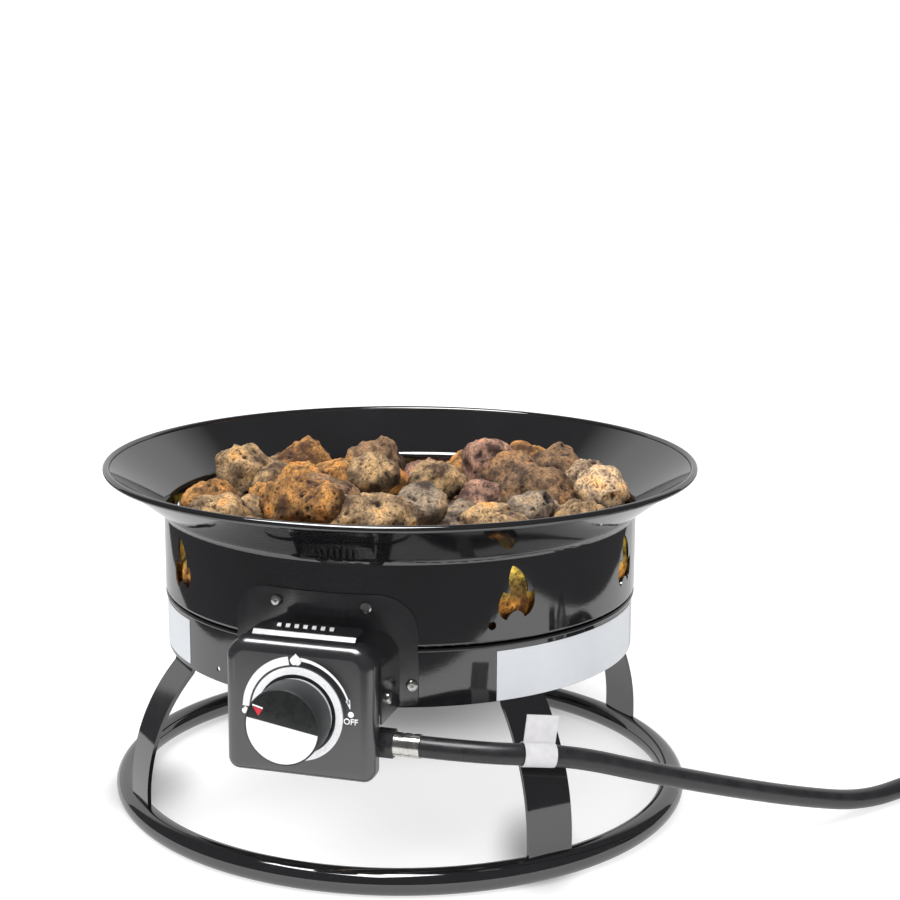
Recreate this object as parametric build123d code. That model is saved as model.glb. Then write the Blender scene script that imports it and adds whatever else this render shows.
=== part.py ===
from build123d import *
import os
from itertools import combinations
from math import asin, atan2, cos, degrees, pi, radians, sin, sqrt, tan
import numpy as np

# A portable gas fire pit: a pierced steel bowl of lava rock on a banded stand, with a
# push-and-turn valve in a box on its front and a rubber hose that ends in a regulator.
# Millimetres. Z is up, the origin is on the floor under the bowl's axis, and the
# control box faces -Y. Azimuths count from the box, positive towards +X.

# Bowl: a pressed drum with a flared rim and a rolled lip
rim_radius = 241.3
drum_radius = 193.0
drum_height = 65.8
flare_height = 37.6
bowl_sheet = 1.5
bowl_corner = 3.0
crease_fillet = 6.0
lip_radius = 2.8
ledge_width = 43.0
flame_width = 30.5
flame_foot = 16.8
flame_head = 8.0
flame_first_azimuth = 44.0
flame_pitch_azimuth = 40.0
flames_per_side = 4
drum_hole_radius = 3.2
drum_hole_rise = 13.8
drum_hole_azimuth = 38.0
# The flame opening: from its foot, each arc's middle and end, in half widths and heights
flame_shares = [
    ((0.20, 0.13), (0.44, 0.02)),
    ((0.88, 0.15), (1.00, 0.36)),
    ((0.97, 0.46), (0.84, 0.52)),
    ((0.72, 0.47), (0.60, 0.48)),
    ((0.44, 0.76), (-0.27, 1.00)),
    ((-0.46, 0.78), (-0.40, 0.55)),
    ((-0.54, 0.49), (-0.68, 0.55)),
    ((-0.93, 0.40), (-1.00, 0.24)),
    ((-0.86, 0.08), (-0.56, 0.00)),
    ((-0.28, 0.12), (0.00, 0.16)),
]

# Stand: base ring, four bent legs and the band that carries the bowl
base_spread = 35.0
base_tube = 10.0
leg_width = 38.0
leg_sheet = 3.0
leg_lean = 41.3
leg_bend = 145.0
leg_top_bend = 8.0
leg_tuck = 2.5
leg_top_drop = 8.4
leg_front_azimuth = 46.5
leg_back_azimuth = 136.5
band_bottom = 130.0
band_height = 44.4
band_setback = 1.5
band_sheet = 1.5
bead_radius = 1.3
neck_setback = 9.0
neck_height = 0.8
band_hole_radius = 2.0
band_hole_rise = 10.0
band_hole_azimuth = -29.0
notch_width = 17.0
bowl_screw_setback = 26.0
bowl_screw_count = 4
bowl_screw_azimuth = 45.0

# Fire pan, burner and the pipe that feeds it
pan_clearance = 9.5
pan_sheet = 1.5
pan_hole_radius = 12.5
drain_radius = 5.0
drain_circle = 120.0
drain_count = 8
burner_radius = 62.0
burner_tube = 8.0
burner_lift = 7.0
burner_round = 5.0
spoke_radius = 6.0
hub_radius = 17.0
hub_flange_radius = 24.0
hub_flange = 3.0
spigot_radius = 12.0
spigot_length = 15.0
spigot_socket = 7.0
port_radius = 1.5
port_count = 16
locknut_across = 32.0
locknut_height = 7.0
mixer_radius = 9.5
mixer_bore = 7.5
mixer_straight = 1.5
mixer_overlap = 6.0
air_hole_radius = 3.0
air_hole_setback = 16.0
air_hole_count = 4

# Lava rock: flat-faced lumps, piled by letting each one down until it touches
rock_size = 50.0
rock_gap = 0.5
rock_faces = 13
rock_rough_share = 0.08
golden_angle = 137.508
# Base rings: count, distance share, height share, first azimuth
base_ring_shares = [(16, 0.97, 1.00, 0.0), (10, 0.61, 0.98, 11.0), (5, 0.29, 0.62, 30.0)]
# Size shares that the base rocks take in turn
base_size_shares = [(1.04, 0.92, 1.10), (0.94, 1.00, 1.00), (1.08, 0.90, 1.06), (0.98, 0.96, 1.12)]
# Top rocks: azimuth, distance share, width, depth and height shares, turn
top_rock_shares = [
    (-131, 0.56, 2.20, 0.80, 0.72, -12),
    (103, 0.74, 1.32, 0.98, 1.00, 20),
    (0, 0.54, 1.45, 0.90, 0.78, 10),
    (-41, 0.58, 1.12, 0.95, 0.80, 0),
    (123, 0.99, 0.88, 0.74, 1.06, 35),
    (-105, 0.96, 0.86, 0.80, 0.90, 15),
    (-74, 0.92, 0.78, 0.72, 0.66, 30),
    (-47, 0.95, 0.95, 0.66, 0.58, 50),
    (-58, 0.74, 0.66, 0.64, 0.76, 10),
    (-86, 0.66, 0.52, 0.52, 0.52, 40),
    (-32, 0.88, 0.60, 0.54, 0.62, 5),
    (-122, 0.94, 0.72, 0.64, 0.54, 70),
    (-148, 0.97, 0.66, 0.60, 0.60, 20),
    (-70, 0.36, 1.08, 0.74, 0.58, -8),
    (-120, 0.20, 0.72, 0.66, 0.58, 25),
    (-18, 0.58, 0.52, 0.52, 0.50, 60),
    (-9, 0.80, 0.80, 0.66, 0.80, 15),
    (12, 0.80, 0.88, 0.66, 0.72, 5),
    (160, 0.30, 0.80, 0.66, 0.56, 12),
    (-174, 0.64, 0.74, 0.64, 0.54, 45),
    (36, 0.30, 0.72, 0.66, 0.60, 30),
    (31, 0.78, 0.90, 0.68, 0.78, -10),
    (128, 0.44, 0.80, 0.72, 0.66, 18),
    (173, 0.84, 0.96, 0.72, 0.54, 80),
    (62, 0.60, 0.96, 0.72, 0.66, 40),
    (53, 0.84, 1.06, 0.68, 0.66, 55),
    (155, 0.96, 0.72, 0.64, 0.56, 65),
    (78, 0.70, 0.70, 0.62, 0.60, 22),
    (80, 0.95, 0.86, 0.72, 0.62, 75),
]

# Control box: a drawn front panel on a bracket that is screwed to the bowl and the band
box_depth = 50.0
panel_width = 112.0
panel_drop = 48.7
panel_rise = 52.0
panel_sheet = 1.2
panel_depth = 16.0
panel_top_corner = 17.0
panel_bottom_corner = 9.0
panel_edge = 9.0
tongue_width = 78.0
tongue_gap = 13.0
tongue_rise = 3.4
tongue_ramp = 3.4
tongue_edge = 2.4
tongue_corner = 6.0
vent_count = 7
vent_pitch = 6.7
vent_width = 3.2
vent_length = 7.0
vent_centre = -2.5
ear_height = 18.0
ear_length = 22.0
bracket_sheet = 1.5
bracket_lift = 2.0
tunnel_drop = 2.0
tunnel_corner = 18.0
flange_wing = 12.7
flange_drop = 25.0
flange_corner = 28.0
flange_foot_corner = 4.0
joggle_drop = 11.4
fit_gap = 0.3
screw_radius = 2.0
screw_length = 8.0
screw_head_radius = 4.4
screw_head_height = 2.6
head_round_share = 0.8
top_screw_half = 34.2
top_screw_drop = 9.5
tab_screw_inset = 7.8
tab_screw_rise = 17.7
side_screw_setback = 30.0

# Valve: body, cover, tapered plug, sprung stem, knob
dial_x = 0.0
dial_rise = 9.7
bezel_radius = 34.5
bezel_sheet = 1.5
valve_radius = 15.0
valve_depth = 37.0
cover_sheet = 4.0
neck_outer = 7.0
neck_tip = 1.0
chamber_radius = 10.0
plug_setback = 19.5
plug_length = 13.5
plug_front_radius = 9.0
plug_back_radius = 7.0
plug_slot = 4.6
plug_slot_depth = 9.0
plug_port_radius = 1.8
plug_port_setback = 2.2
outlet_radius = 6.0
outlet_length = 18.0
gas_bore = 3.0
valve_nut_across = 20.0
valve_nut_height = 3.0
push_travel = 3.5
stem_radius = 4.0
stem_flat = 3.0
stem_setback = 15.0
stem_reach = 25.0
collar_radius = 7.0
collar_sheet = 2.5
tang_sheet = 4.0
tang_height = 7.0
tang_length = 9.5
spring_radius = 6.0
spring_wire = 0.6
spring_turns = 4
knob_radius = 27.9
knob_gap = 6.0
knob_depth = 24.5
knob_wall = 3.5
knob_edge = 0.8
knob_hub = 8.0
knob_web = 6.0
cap_radius = 26.8
cap_sheet = 1.2
jet_radius = 5.0
jet_length = 12.0
jet_stub = 6.0
jet_hole = 0.8
inlet_boss_radius = 8.0
inlet_boss_drop = 15.5
inlet_socket_depth = 6.0

# Hose fitting on the right of the box
hose_radius = 7.9
hose_setback = 28.0
hose_drop = 25.2
elbow_radius = 5.0
elbow_bore = 3.0
elbow_bend = 9.0
nut_across = 19.0
nut_inset = 5.5
nut_length = 14.0
nut_socket = 8.0
nut_chamfer = 1.0
ferrule_radius = 8.9
ferrule_length = 19.5
crimp_depth = 0.5
crimp_width = 2.4

# Hose route from the ferrule to the floor, then a tied coil and the regulator
hose_lead = 48.0
hose_points = [
    (184, -183, 108),
    (237, -136, 83),
    (287, -78, 56),
    (335, -17, 30),
    (381, 42, 9),
]
run_share = 0.45
coil_x = 552.0
coil_y = 95.0
coil_radius = 103.0
coil_pitch = 17.0
coil_layer = 16.8
coil_start_azimuth = 141.0
coil_turns = 4
coil_ease_share = 0.25
coil_lead = 60.0
tie_width = 16.0
tie_sheet = 1.2
tie_gap = 0.9
tie_azimuth = 250.0
tie_corner = 5.0
tail_length = 40.0
tag_length = 24.0
tag_height = 21.0
tag_sheet = 0.5
tag_gap = 0.6
tag_place_share = 0.62
regulator_radius = 28.0
regulator_height = 36.0
regulator_foot = 3.0
regulator_boss = 9.0
boss_length = 8.0
bonnet_radius = 29.5
bonnet_flange = 4.0
bonnet_height = 17.0
bonnet_top_radius = 17.0
bonnet_round = 6.0
bonnet_edge = 1.0
vent_cap_radius = 6.5
vent_cap_height = 4.0
vent_cap_round = 1.0
nipple_neck = 8.0
nipple_neck_length = 12.0
nipple_collar = 12.5
nipple_collar_length = 4.0
nipple_nose = 6.5
nipple_nose_length = 16.0
seal_radius = 8.0
seal_length = 7.0
nut_wall = 4.0
coupling_radius = 20.0
coupling_bore = 15.5
coupling_length = 33.0
coupling_ribs = 16
rib_radius = 2.0
running_gap = 0.4
overrun = 5.0

# Heights that follow, from the band up and down
band_top = band_bottom + band_height
drum_bottom = band_top + neck_height
crease_height = drum_bottom + drum_height
bowl_height = crease_height + flare_height
flame_bottom = drum_bottom + flame_foot
flame_height = crease_height - flame_head - flame_bottom
drum_hole_height = drum_bottom + drum_hole_rise
band_hole_height = band_bottom + band_hole_rise
leg_bend_height = band_bottom - leg_tuck
leg_top = band_top - leg_top_drop
dial_height = band_bottom + dial_rise
panel_bottom = dial_height - panel_drop
panel_top = dial_height + panel_rise
tunnel_top = panel_top - tunnel_drop
bracket_bottom = band_bottom + bracket_lift
joggle_height = band_top - joggle_drop
flange_top = crease_height - flange_drop
top_screw_height = flange_top - top_screw_drop
tab_screw_height = band_bottom + tab_screw_rise
inlet_boss_bottom = dial_height - inlet_boss_drop
inlet_socket = inlet_boss_bottom + inlet_socket_depth
hose_height = dial_height - hose_drop
pan_top = drum_bottom + bowl_sheet + pan_sheet
burner_height = pan_top + burner_lift + burner_tube
mixer_top = pan_top - spigot_length + spigot_socket
mixer_bend = pan_top - spigot_length - dial_height - mixer_straight

# Distances from the bowl's axis that follow, from the drum out to the knob
bowl_inner = drum_radius - bowl_sheet
ledge_radius = drum_radius - ledge_width
base_radius = drum_radius + base_spread
band_radius = drum_radius - band_setback
band_inner = band_radius - band_sheet
neck_radius = drum_radius - neck_setback
bowl_screw_circle = drum_radius - bowl_screw_setback
pan_radius = bowl_inner - pan_clearance
panel_front = drum_radius + box_depth
tongue_back = drum_radius + tongue_gap
side_screw_distance = panel_front - side_screw_setback
hose_distance = panel_front - hose_setback
tunnel_front = panel_front - panel_depth - fit_gap
cover_front = panel_front - panel_sheet
cover_back = cover_front - cover_sheet
bezel_front = panel_front + bezel_sheet
neck_end = bezel_front + valve_nut_height + neck_tip
valve_back = panel_front - valve_depth
plug_front = panel_front - plug_setback
plug_back = plug_front - plug_length
outlet_end = valve_back - outlet_length
jet_end = outlet_end - jet_length
mixer_mouth = jet_end + mixer_overlap
stem_back = panel_front - stem_setback
stem_front = panel_front + stem_reach
knob_back = panel_front + knob_gap
knob_front = knob_back + knob_depth

# Places across the box that follow
tunnel_half = panel_width / 2 + fit_gap + bracket_sheet
flange_half = tunnel_half + flange_wing
top_screw_azimuth = degrees(asin(top_screw_half / drum_radius))
tab_screw_azimuth = degrees(asin((tunnel_half + tab_screw_inset) / band_radius))
nut_start = panel_width / 2 - nut_inset
nut_end = nut_start + nut_length
ferrule_end = nut_end + ferrule_length
parts = {}


def bar(inner, outer, low, high):
    """A rectangle of a turned profile, between two radii and two heights."""
    return Pos((inner + outer) / 2, (low + high) / 2) * Rectangle(outer - inner, high - low)


def turned(profile):
    """A profile of radius and height, turned about Z."""
    return revolve(Plane.XZ * profile, axis=Axis.Z)


def outline(*lines):
    """The face inside a closed chain of lines and arcs."""
    return make_face([edge for line in lines for edge in line.edges()])


def ring_copies(shape, count, first=0.0):
    """Copies of a shape, evenly spaced about Z."""
    return [Rot(0, 0, first + 360 * k / count) * shape for k in range(count)]


def rod(radius, start, end):
    """A round bar from one point to another."""
    line = Vector(end) - Vector(start)
    return Plane(origin=start, z_dir=line) * extrude(Circle(radius), amount=line.length)


def hexagon(across, height):
    """A hexagonal prism, standing on its plane, with flats facing its own Y."""
    return extrude(RegularPolygon(across / 2, 6, major_radius=False, rotation=30), amount=height)


def facing(azimuth, distance, height):
    """A plane on the front at an azimuth, distance and height, looking outwards."""
    turn = radians(azimuth)
    out = Vector(sin(turn), -cos(turn), 0)
    return Plane(origin=out * distance + Vector(0, 0, height), x_dir=(cos(turn), sin(turn), 0), z_dir=out)


def arch(half, bottom, top, corner):
    """An upright outline with round top corners, drawn as X and Z."""
    shape = Pos(0, (bottom + top) / 2) * Rectangle(2 * half, top - bottom)
    return fillet(shape.vertices().group_by(Axis.Y)[-1], corner)


def front_block(shape, near, far):
    """An X and Z outline, drawn out along Y between two distances from the bowl's axis."""
    return Plane(origin=(0, -near, 0), x_dir=(1, 0, 0), z_dir=(0, -1, 0)) * extrude(shape, amount=far - near)


def pan_head():
    """A round-topped screw head with its shank below it, seated at zero."""
    head = bar(0, screw_head_radius, 0, screw_head_height)
    rim = head.vertices().group_by(Axis.X)[-1].sort_by(Axis.Y)[-1]
    head = fillet(rim, screw_head_height * head_round_share)
    return turned(head + bar(0, screw_radius, -screw_length, 0))


# Bowl
def bowl():
    lip_r = rim_radius - lip_radius
    lip_z = bowl_height - lip_radius
    slope = atan2(lip_z - crease_height, lip_r - drum_radius)
    crease_in = crease_height + bowl_sheet * (1 - sin(slope)) / cos(slope)
    tip_r = lip_r - bowl_sheet * sin(slope)
    tip_z = lip_z + bowl_sheet * cos(slope)
    outer = FilletPolyline((ledge_radius, drum_bottom), (drum_radius, drum_bottom),
                           (drum_radius, crease_height), (lip_r, lip_z), radius=[bowl_corner, crease_fillet])
    inner = FilletPolyline((ledge_radius, drum_bottom + bowl_sheet), (bowl_inner, drum_bottom + bowl_sheet),
                           (bowl_inner, crease_in), (tip_r, tip_z),
                           radius=[bowl_corner - bowl_sheet, crease_fillet + bowl_sheet])
    wall = outline(outer, Line(outer @ 1, inner @ 1), inner, Line(inner @ 0, outer @ 0))
    shape = turned(wall + Pos(lip_r, lip_z) * Circle(lip_radius))
    cutter = flame_cutter()
    cuts = [Rot(0, 0, side * (flame_first_azimuth + flame_pitch_azimuth * k)) * cutter
            for side in (-1, 1) for k in range(flames_per_side)]
    cuts.append(wall_drill(drum_hole_azimuth, drum_hole_height, drum_hole_radius, drum_radius))
    cuts += [wall_drill(side * top_screw_azimuth, top_screw_height, screw_radius + fit_gap, drum_radius)
             for side in (-1, 1)]
    return shape - cuts - bowl_screw_holes()


def flame_cutter():
    """A plain three-tongued flame, drawn out through the drum's front wall."""
    half = flame_width / 2
    arcs = []
    start = (0, flame_shares[-1][-1][-1] * flame_height)
    for middle, end in flame_shares:
        middle = (middle[0] * half, middle[1] * flame_height)
        end = (end[0] * half, end[1] * flame_height)
        arcs.append(ThreePointArc(start, middle, end))
        start = end
    flame = Pos(0, flame_bottom) * outline(*arcs)
    return front_block(flame, drum_radius - 2 * overrun, drum_radius + overrun)


def wall_drill(azimuth, height, radius, wall):
    """A radial drill through a round wall."""
    return facing(azimuth, wall - 2 * overrun, height) * extrude(Circle(radius), amount=3 * overrun)


def bowl_screw_holes():
    """Drills for the screws that hold the bowl down on the band."""
    drill = Pos(bowl_screw_circle, 0, drum_bottom) * Cylinder(screw_radius + fit_gap, 2 * overrun)
    return ring_copies(drill, bowl_screw_count, bowl_screw_azimuth)


parts["bowl"] = bowl()


# Stand
def support_band():
    bead_z = band_top - bead_radius
    bead_r = drum_radius - bead_radius
    profile = bar(band_inner, band_radius, band_bottom, bead_z)
    profile += Pos(bead_r, bead_z) * Circle(bead_radius)
    profile += bar(neck_radius - band_sheet, bead_r, bead_z - band_sheet / 2, bead_z + band_sheet / 2)
    profile += bar(neck_radius - band_sheet, neck_radius, bead_z - band_sheet / 2, drum_bottom)
    profile += bar(ledge_radius, neck_radius, drum_bottom - band_sheet, drum_bottom)
    notch_top = dial_height + notch_width / 2
    notch = Pos(dial_x, -band_radius, (band_bottom + notch_top) / 2 - overrun) * Box(
        notch_width, 2 * overrun, notch_top - band_bottom + 2 * overrun)
    cuts = [wall_drill(side * tab_screw_azimuth, tab_screw_height, screw_radius + fit_gap, band_radius)
            for side in (-1, 1)]
    cuts.append(wall_drill(band_hole_azimuth, band_hole_height, band_hole_radius, band_radius))
    return turned(profile) - cuts - notch - bowl_screw_holes()


def leg(azimuth, ring):
    """A flat strip, bent to stand on the base ring and lie against the inside of the band."""
    top_r = band_inner - leg_sheet / 2
    knee = leg_bend_height - (base_radius - top_r) / tan(radians(leg_lean))
    foot = 2 * base_tube - overrun
    path = FilletPolyline((base_radius, 0, foot), (base_radius, 0, knee), (top_r, 0, leg_bend_height),
                          (top_r, 0, leg_top), radius=[leg_bend, leg_top_bend])
    section = Plane(origin=path @ 0, x_dir=(0, 1, 0), z_dir=path % 0) * Rectangle(leg_width, leg_sheet)
    strip = sweep(section, path=path)
    reach = leg_top - band_bottom + overrun
    collar = Pos(0, 0, band_bottom + reach / 2) * (
        Cylinder(band_radius + overrun, reach) - Cylinder(band_inner, reach))
    return Rot(0, 0, azimuth - 90) * (strip - collar) - ring


base_ring = Pos(0, 0, base_tube) * Torus(base_radius, base_tube)
parts["base_ring"] = base_ring
parts["support_band"] = support_band()
for place, azimuth in (("front", leg_front_azimuth), ("back", leg_back_azimuth)):
    parts["leg_" + place + "_right"] = leg(azimuth, base_ring)
    parts["leg_" + place + "_left"] = leg(-azimuth, base_ring)
bowl_screw = Pos(bowl_screw_circle, 0, drum_bottom - band_sheet) * Rot(180, 0, 0) * (
    pan_head() & Pos(0, 0, overrun - band_sheet - bowl_sheet) * Box(4 * overrun, 4 * overrun, 2 * overrun))
parts["bowl_screws"] = Compound(children=ring_copies(bowl_screw, bowl_screw_count, bowl_screw_azimuth))


# Fire pan and burner
def fire_pan():
    low = drum_bottom + bowl_sheet
    plate = turned(bar(pan_hole_radius, pan_radius, low, pan_top))
    drain = Pos(drain_circle, 0, pan_top) * Cylinder(drain_radius, 2 * overrun)
    return plate - ring_copies(drain, drain_count)


def burner_ring():
    hub_top = burner_height + spoke_radius
    ring = bar(burner_radius - burner_tube, burner_radius + burner_tube, burner_height - burner_tube,
               burner_height + burner_tube)
    ring = fillet(ring.vertices(), burner_round)
    spoke = Pos(0, 0, burner_height) * Box(2 * burner_radius, 2 * spoke_radius, 2 * spoke_radius)
    spokes = [spoke, Rot(0, 0, 90) * spoke]
    hub = bar(0, hub_radius, pan_top, hub_top) + bar(0, hub_flange_radius, pan_top, pan_top + hub_flange)
    hub += bar(0, spigot_radius, pan_top - spigot_length, pan_top)
    bore = bar(0, mixer_radius + fit_gap, pan_top - spigot_length - overrun, mixer_top)
    bore += bar(0, mixer_bore, mixer_top, burner_height)
    port = Pos(burner_radius, 0, burner_height + burner_tube) * Cylinder(port_radius, 2 * burner_tube)
    ports = ring_copies(port, port_count, 180 / port_count)
    return turned(ring) + spokes + turned(hub) - turned(bore) - ports


def burner_locknut():
    low = drum_bottom + bowl_sheet - locknut_height
    bore = Pos(0, 0, locknut_height / 2) * Cylinder(spigot_radius, locknut_height)
    return Pos(0, 0, low) * (hexagon(locknut_across, locknut_height) - bore)


def mixer_tube():
    path = FilletPolyline((dial_x, -mixer_mouth, dial_height), (0, 0, dial_height), (0, 0, mixer_top),
                          radius=mixer_bend)
    ring = Plane(origin=path @ 0, z_dir=path % 0) * (Circle(mixer_radius) - Circle(mixer_bore))
    spot = Plane(origin=(dial_x, -mixer_mouth + air_hole_setback, dial_height), z_dir=(0, 1, 0))
    hole = spot * Rot(0, 90, 0) * Cylinder(air_hole_radius, 4 * mixer_radius)
    turn = Axis((dial_x, 0, dial_height), (0, 1, 0))
    holes = [hole.rotate(turn, 360 * (k + 1 / 2) / air_hole_count) for k in range(air_hole_count // 2)]
    return sweep(ring, path=path) - holes


parts["fire_pan"] = fire_pan()
parts["burner_ring"] = burner_ring()
parts["burner_locknut"] = burner_locknut()
parts["mixer_tube"] = mixer_tube()


# Lava rock
class Lump:
    """A convex lump with flat faces, known by its planes, corners and edges."""

    def __init__(self, normals, offsets):
        self.normals = normals
        self.offsets = offsets
        self.centre = np.zeros(3)
        found = {}
        for trio in combinations(range(len(offsets)), 3):
            rows = normals[list(trio)]
            if abs(np.linalg.det(rows)) < 1e-6:
                continue
            corner = np.linalg.solve(rows, offsets[list(trio)])
            if np.all(normals @ corner <= offsets + 1e-7 * offsets.max()):
                found[trio] = corner
        self.corners = np.array(list(found.values()))
        self.rings = []
        pairs = {}
        for face, normal in enumerate(normals):
            own = [k for k, trio in enumerate(found) if face in trio]
            if len(own) < 3:
                continue
            middle = self.corners[own].mean(0)
            side = np.cross(normal, self.corners[own[0]] - middle)
            angle = [atan2((self.corners[k] - middle) @ side,
                           (self.corners[k] - middle) @ np.cross(side, normal)) for k in own]
            ring = [own[k] for k in np.argsort(angle)]
            self.rings.append(ring)
            for a, b in zip(ring, ring[1:] + ring[:1]):
                pairs[min(a, b), max(a, b)] = True
        self.edges = np.array(list(pairs))

    def points(self):
        return self.corners + self.centre

    def surface(self, spots, upward):
        """Height of the top or the underside over each spot, and whether the spot is covered."""
        slant = self.normals[:, 2]
        level = self.offsets + self.normals @ self.centre
        room = level[:, None] - self.normals[:, :2] @ spots.T
        up = slant > 1e-6
        down = slant < -1e-6
        top = (room[up] / slant[up, None]).min(0)
        low = (room[down] / slant[down, None]).max(0)
        beside = (room[~up & ~down] >= 0).all(0)
        return (top if upward else low), (top >= low) & beside

    def solid(self):
        points = [Vector(*p) for p in self.points()]
        faces = [Face(Wire.make_polygon([points[k] for k in ring])) for ring in self.rings]
        return Solid(Shell(faces))


def rest_height(falling, resting):
    """How far the falling lump has to be raised to lie on the resting one, or None if it misses."""
    lifts = []
    mine = falling.points()
    theirs = resting.points()
    top, over = resting.surface(mine[:, :2], True)
    lifts += list((top - mine[:, 2])[over])
    low, under = falling.surface(theirs[:, :2], False)
    lifts += list((theirs[:, 2] - low)[under])
    a = mine[falling.edges]
    b = theirs[resting.edges]
    da = (a[:, 1] - a[:, 0])[:, None]
    db = (b[:, 1] - b[:, 0])[None]
    gap = b[None, :, 0] - a[:, None, 0]
    cross = da[..., 0] * db[..., 1] - da[..., 1] * db[..., 0]
    safe = np.where(abs(cross) < 1e-9, 1, cross)
    s = (gap[..., 0] * db[..., 1] - gap[..., 1] * db[..., 0]) / safe
    t = (gap[..., 0] * da[..., 1] - gap[..., 1] * da[..., 0]) / safe
    meet = (abs(cross) > 1e-9) & (s >= 0) & (s <= 1) & (t >= 0) & (t <= 1)
    lift = gap[..., 2] + t * db[..., 2] - s * da[..., 2]
    lifts += list(lift[meet])
    return max(lifts) if lifts else None


def rock_lump(index, width, depth, height, turn):
    """One lump: a round one cut by planes, stretched to its size and turned."""
    steps = np.arange(rock_faces) + 0.5
    rise = 1 - 2 * steps / rock_faces
    reach = np.sqrt(1 - rise**2)
    angle = np.radians(golden_angle) * (steps + 7 * index)
    normals = np.stack([reach * np.cos(angle), reach * np.sin(angle), rise], 1)
    offsets = 1 + rock_rough_share * np.sin(3 * steps + index)
    corners = Lump(normals, offsets).corners
    normals = normals * np.ptp(corners, axis=0) / np.array([width, depth, height])
    spin = radians(turn)
    normals = normals @ np.array([[cos(spin), sin(spin), 0], [-sin(spin), cos(spin), 0], [0, 0, 1]])
    length = np.linalg.norm(normals, axis=1)
    return Lump(normals / length[:, None], offsets / length)


def block_lump(radius, low, high):
    """A round block, as a many-sided lump that rocks can lie on."""
    sides = 12
    angle = np.radians(360 / sides) * np.arange(sides)
    normals = np.stack([np.cos(angle), np.sin(angle), np.zeros(sides)], 1)
    normals = np.concatenate([normals, [[0, 0, 1], [0, 0, -1]]])
    half = (high - low) / 2
    lump = Lump(normals, np.array([radius] * sides + [half, half]))
    lump.centre = np.array([0, 0, (low + high) / 2])
    return lump


def lava_rocks():
    places = []
    for count, distance, tall, first in base_ring_shares:
        for k in range(count):
            width, depth, height = base_size_shares[len(places) % len(base_size_shares)]
            azimuth = first + 360 * k / count
            places.append((azimuth, distance, width, depth, tall * height, azimuth))
    places += top_rock_shares
    pile = [block_lump(burner_radius + burner_tube, pan_top, burner_height + burner_tube)]
    for index, (azimuth, distance, width, depth, height, turn) in enumerate(places):
        lump = rock_lump(index, width * rock_size, depth * rock_size, height * rock_size, turn)
        reach = np.hypot(lump.corners[:, 0], lump.corners[:, 1]).max()
        out = distance * (bowl_inner - reach - rock_gap)
        seat = pan_top - lump.corners[:, 2].min()
        lump.centre = np.array([out * sin(radians(azimuth)), -out * cos(radians(azimuth)), seat])
        lifts = [rest_height(lump, other) for other in pile]
        lift = max([value + rock_gap for value in lifts if value is not None], default=0)
        lump.centre[2] += max(lift, 0)
        pile.append(lump)
    return Compound(children=[lump.solid() for lump in pile[1:]])


parts["lava_rocks"] = lava_rocks()


# Control box
def tray_block(inset):
    """The drawn front of the panel as a block, drawn in by an inset for its inside."""
    half = panel_width / 2 - inset
    shape = arch(half, panel_bottom + inset, panel_top - inset, panel_top_corner - inset)
    shape = fillet(shape.vertices().group_by(Axis.Y)[0], panel_bottom_corner - inset)
    block = front_block(shape, panel_front - panel_depth, panel_front - inset)
    return fillet(block.faces().sort_by(Axis.Y)[0].edges(), panel_edge - inset)


def panel_tongue():
    """The plate that steps up from the panel's top and runs back over the bracket."""
    start = panel_front - panel_depth + overrun / 2
    bend = start - tongue_ramp
    level = panel_top + tongue_rise
    side = Polyline((-start, panel_top), (-bend, level), (-tongue_back, level),
                    (-tongue_back, level - panel_sheet), (panel_sheet - bend, level - panel_sheet),
                    (panel_sheet - start, panel_top - panel_sheet), (-start, panel_top - panel_sheet), close=True)
    plate = extrude(Plane.YZ * outline(side), amount=tongue_width / 2, both=True)
    corners = plate.edges().filter_by(Axis.Z).group_by(Axis.Y)[-1]
    plate = fillet(corners, tongue_corner)
    plate = fillet(plate.edges().filter_by(Axis.X).group_by(Axis.Z)[-1].sort_by(Axis.Y)[0], tongue_edge)
    slot = Pos(0, -(tongue_back + vent_length), level) * Box(vent_width, vent_length, 2 * overrun)
    first = vent_centre - vent_pitch * (vent_count - 1) / 2
    return plate - [Pos(first + vent_pitch * k, 0, 0) * slot for k in range(vent_count)]


def panel_ears():
    """Two lugs inside the bracket's walls, for the side screws."""
    back = panel_front - panel_depth - ear_length
    lug = Pos(panel_width / 2 - panel_sheet / 2, -(back + panel_front - panel_depth + overrun) / 2,
              tab_screw_height) * Box(panel_sheet, ear_length + overrun, ear_height)
    return [lug, mirror(lug, Plane.YZ)]


def side_drill():
    """A drill through both side walls at the side screws."""
    return rod(screw_radius + fit_gap, (-panel_width, -side_screw_distance, tab_screw_height),
               (panel_width, -side_screw_distance, tab_screw_height))


def control_panel():
    shell = tray_block(0) - tray_block(panel_sheet) + panel_tongue() + panel_ears()
    neck_hole = rod(neck_outer + fit_gap, (dial_x, -cover_back, dial_height),
                    (dial_x, -bezel_front, dial_height))
    return shell - neck_hole - side_drill()


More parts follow.
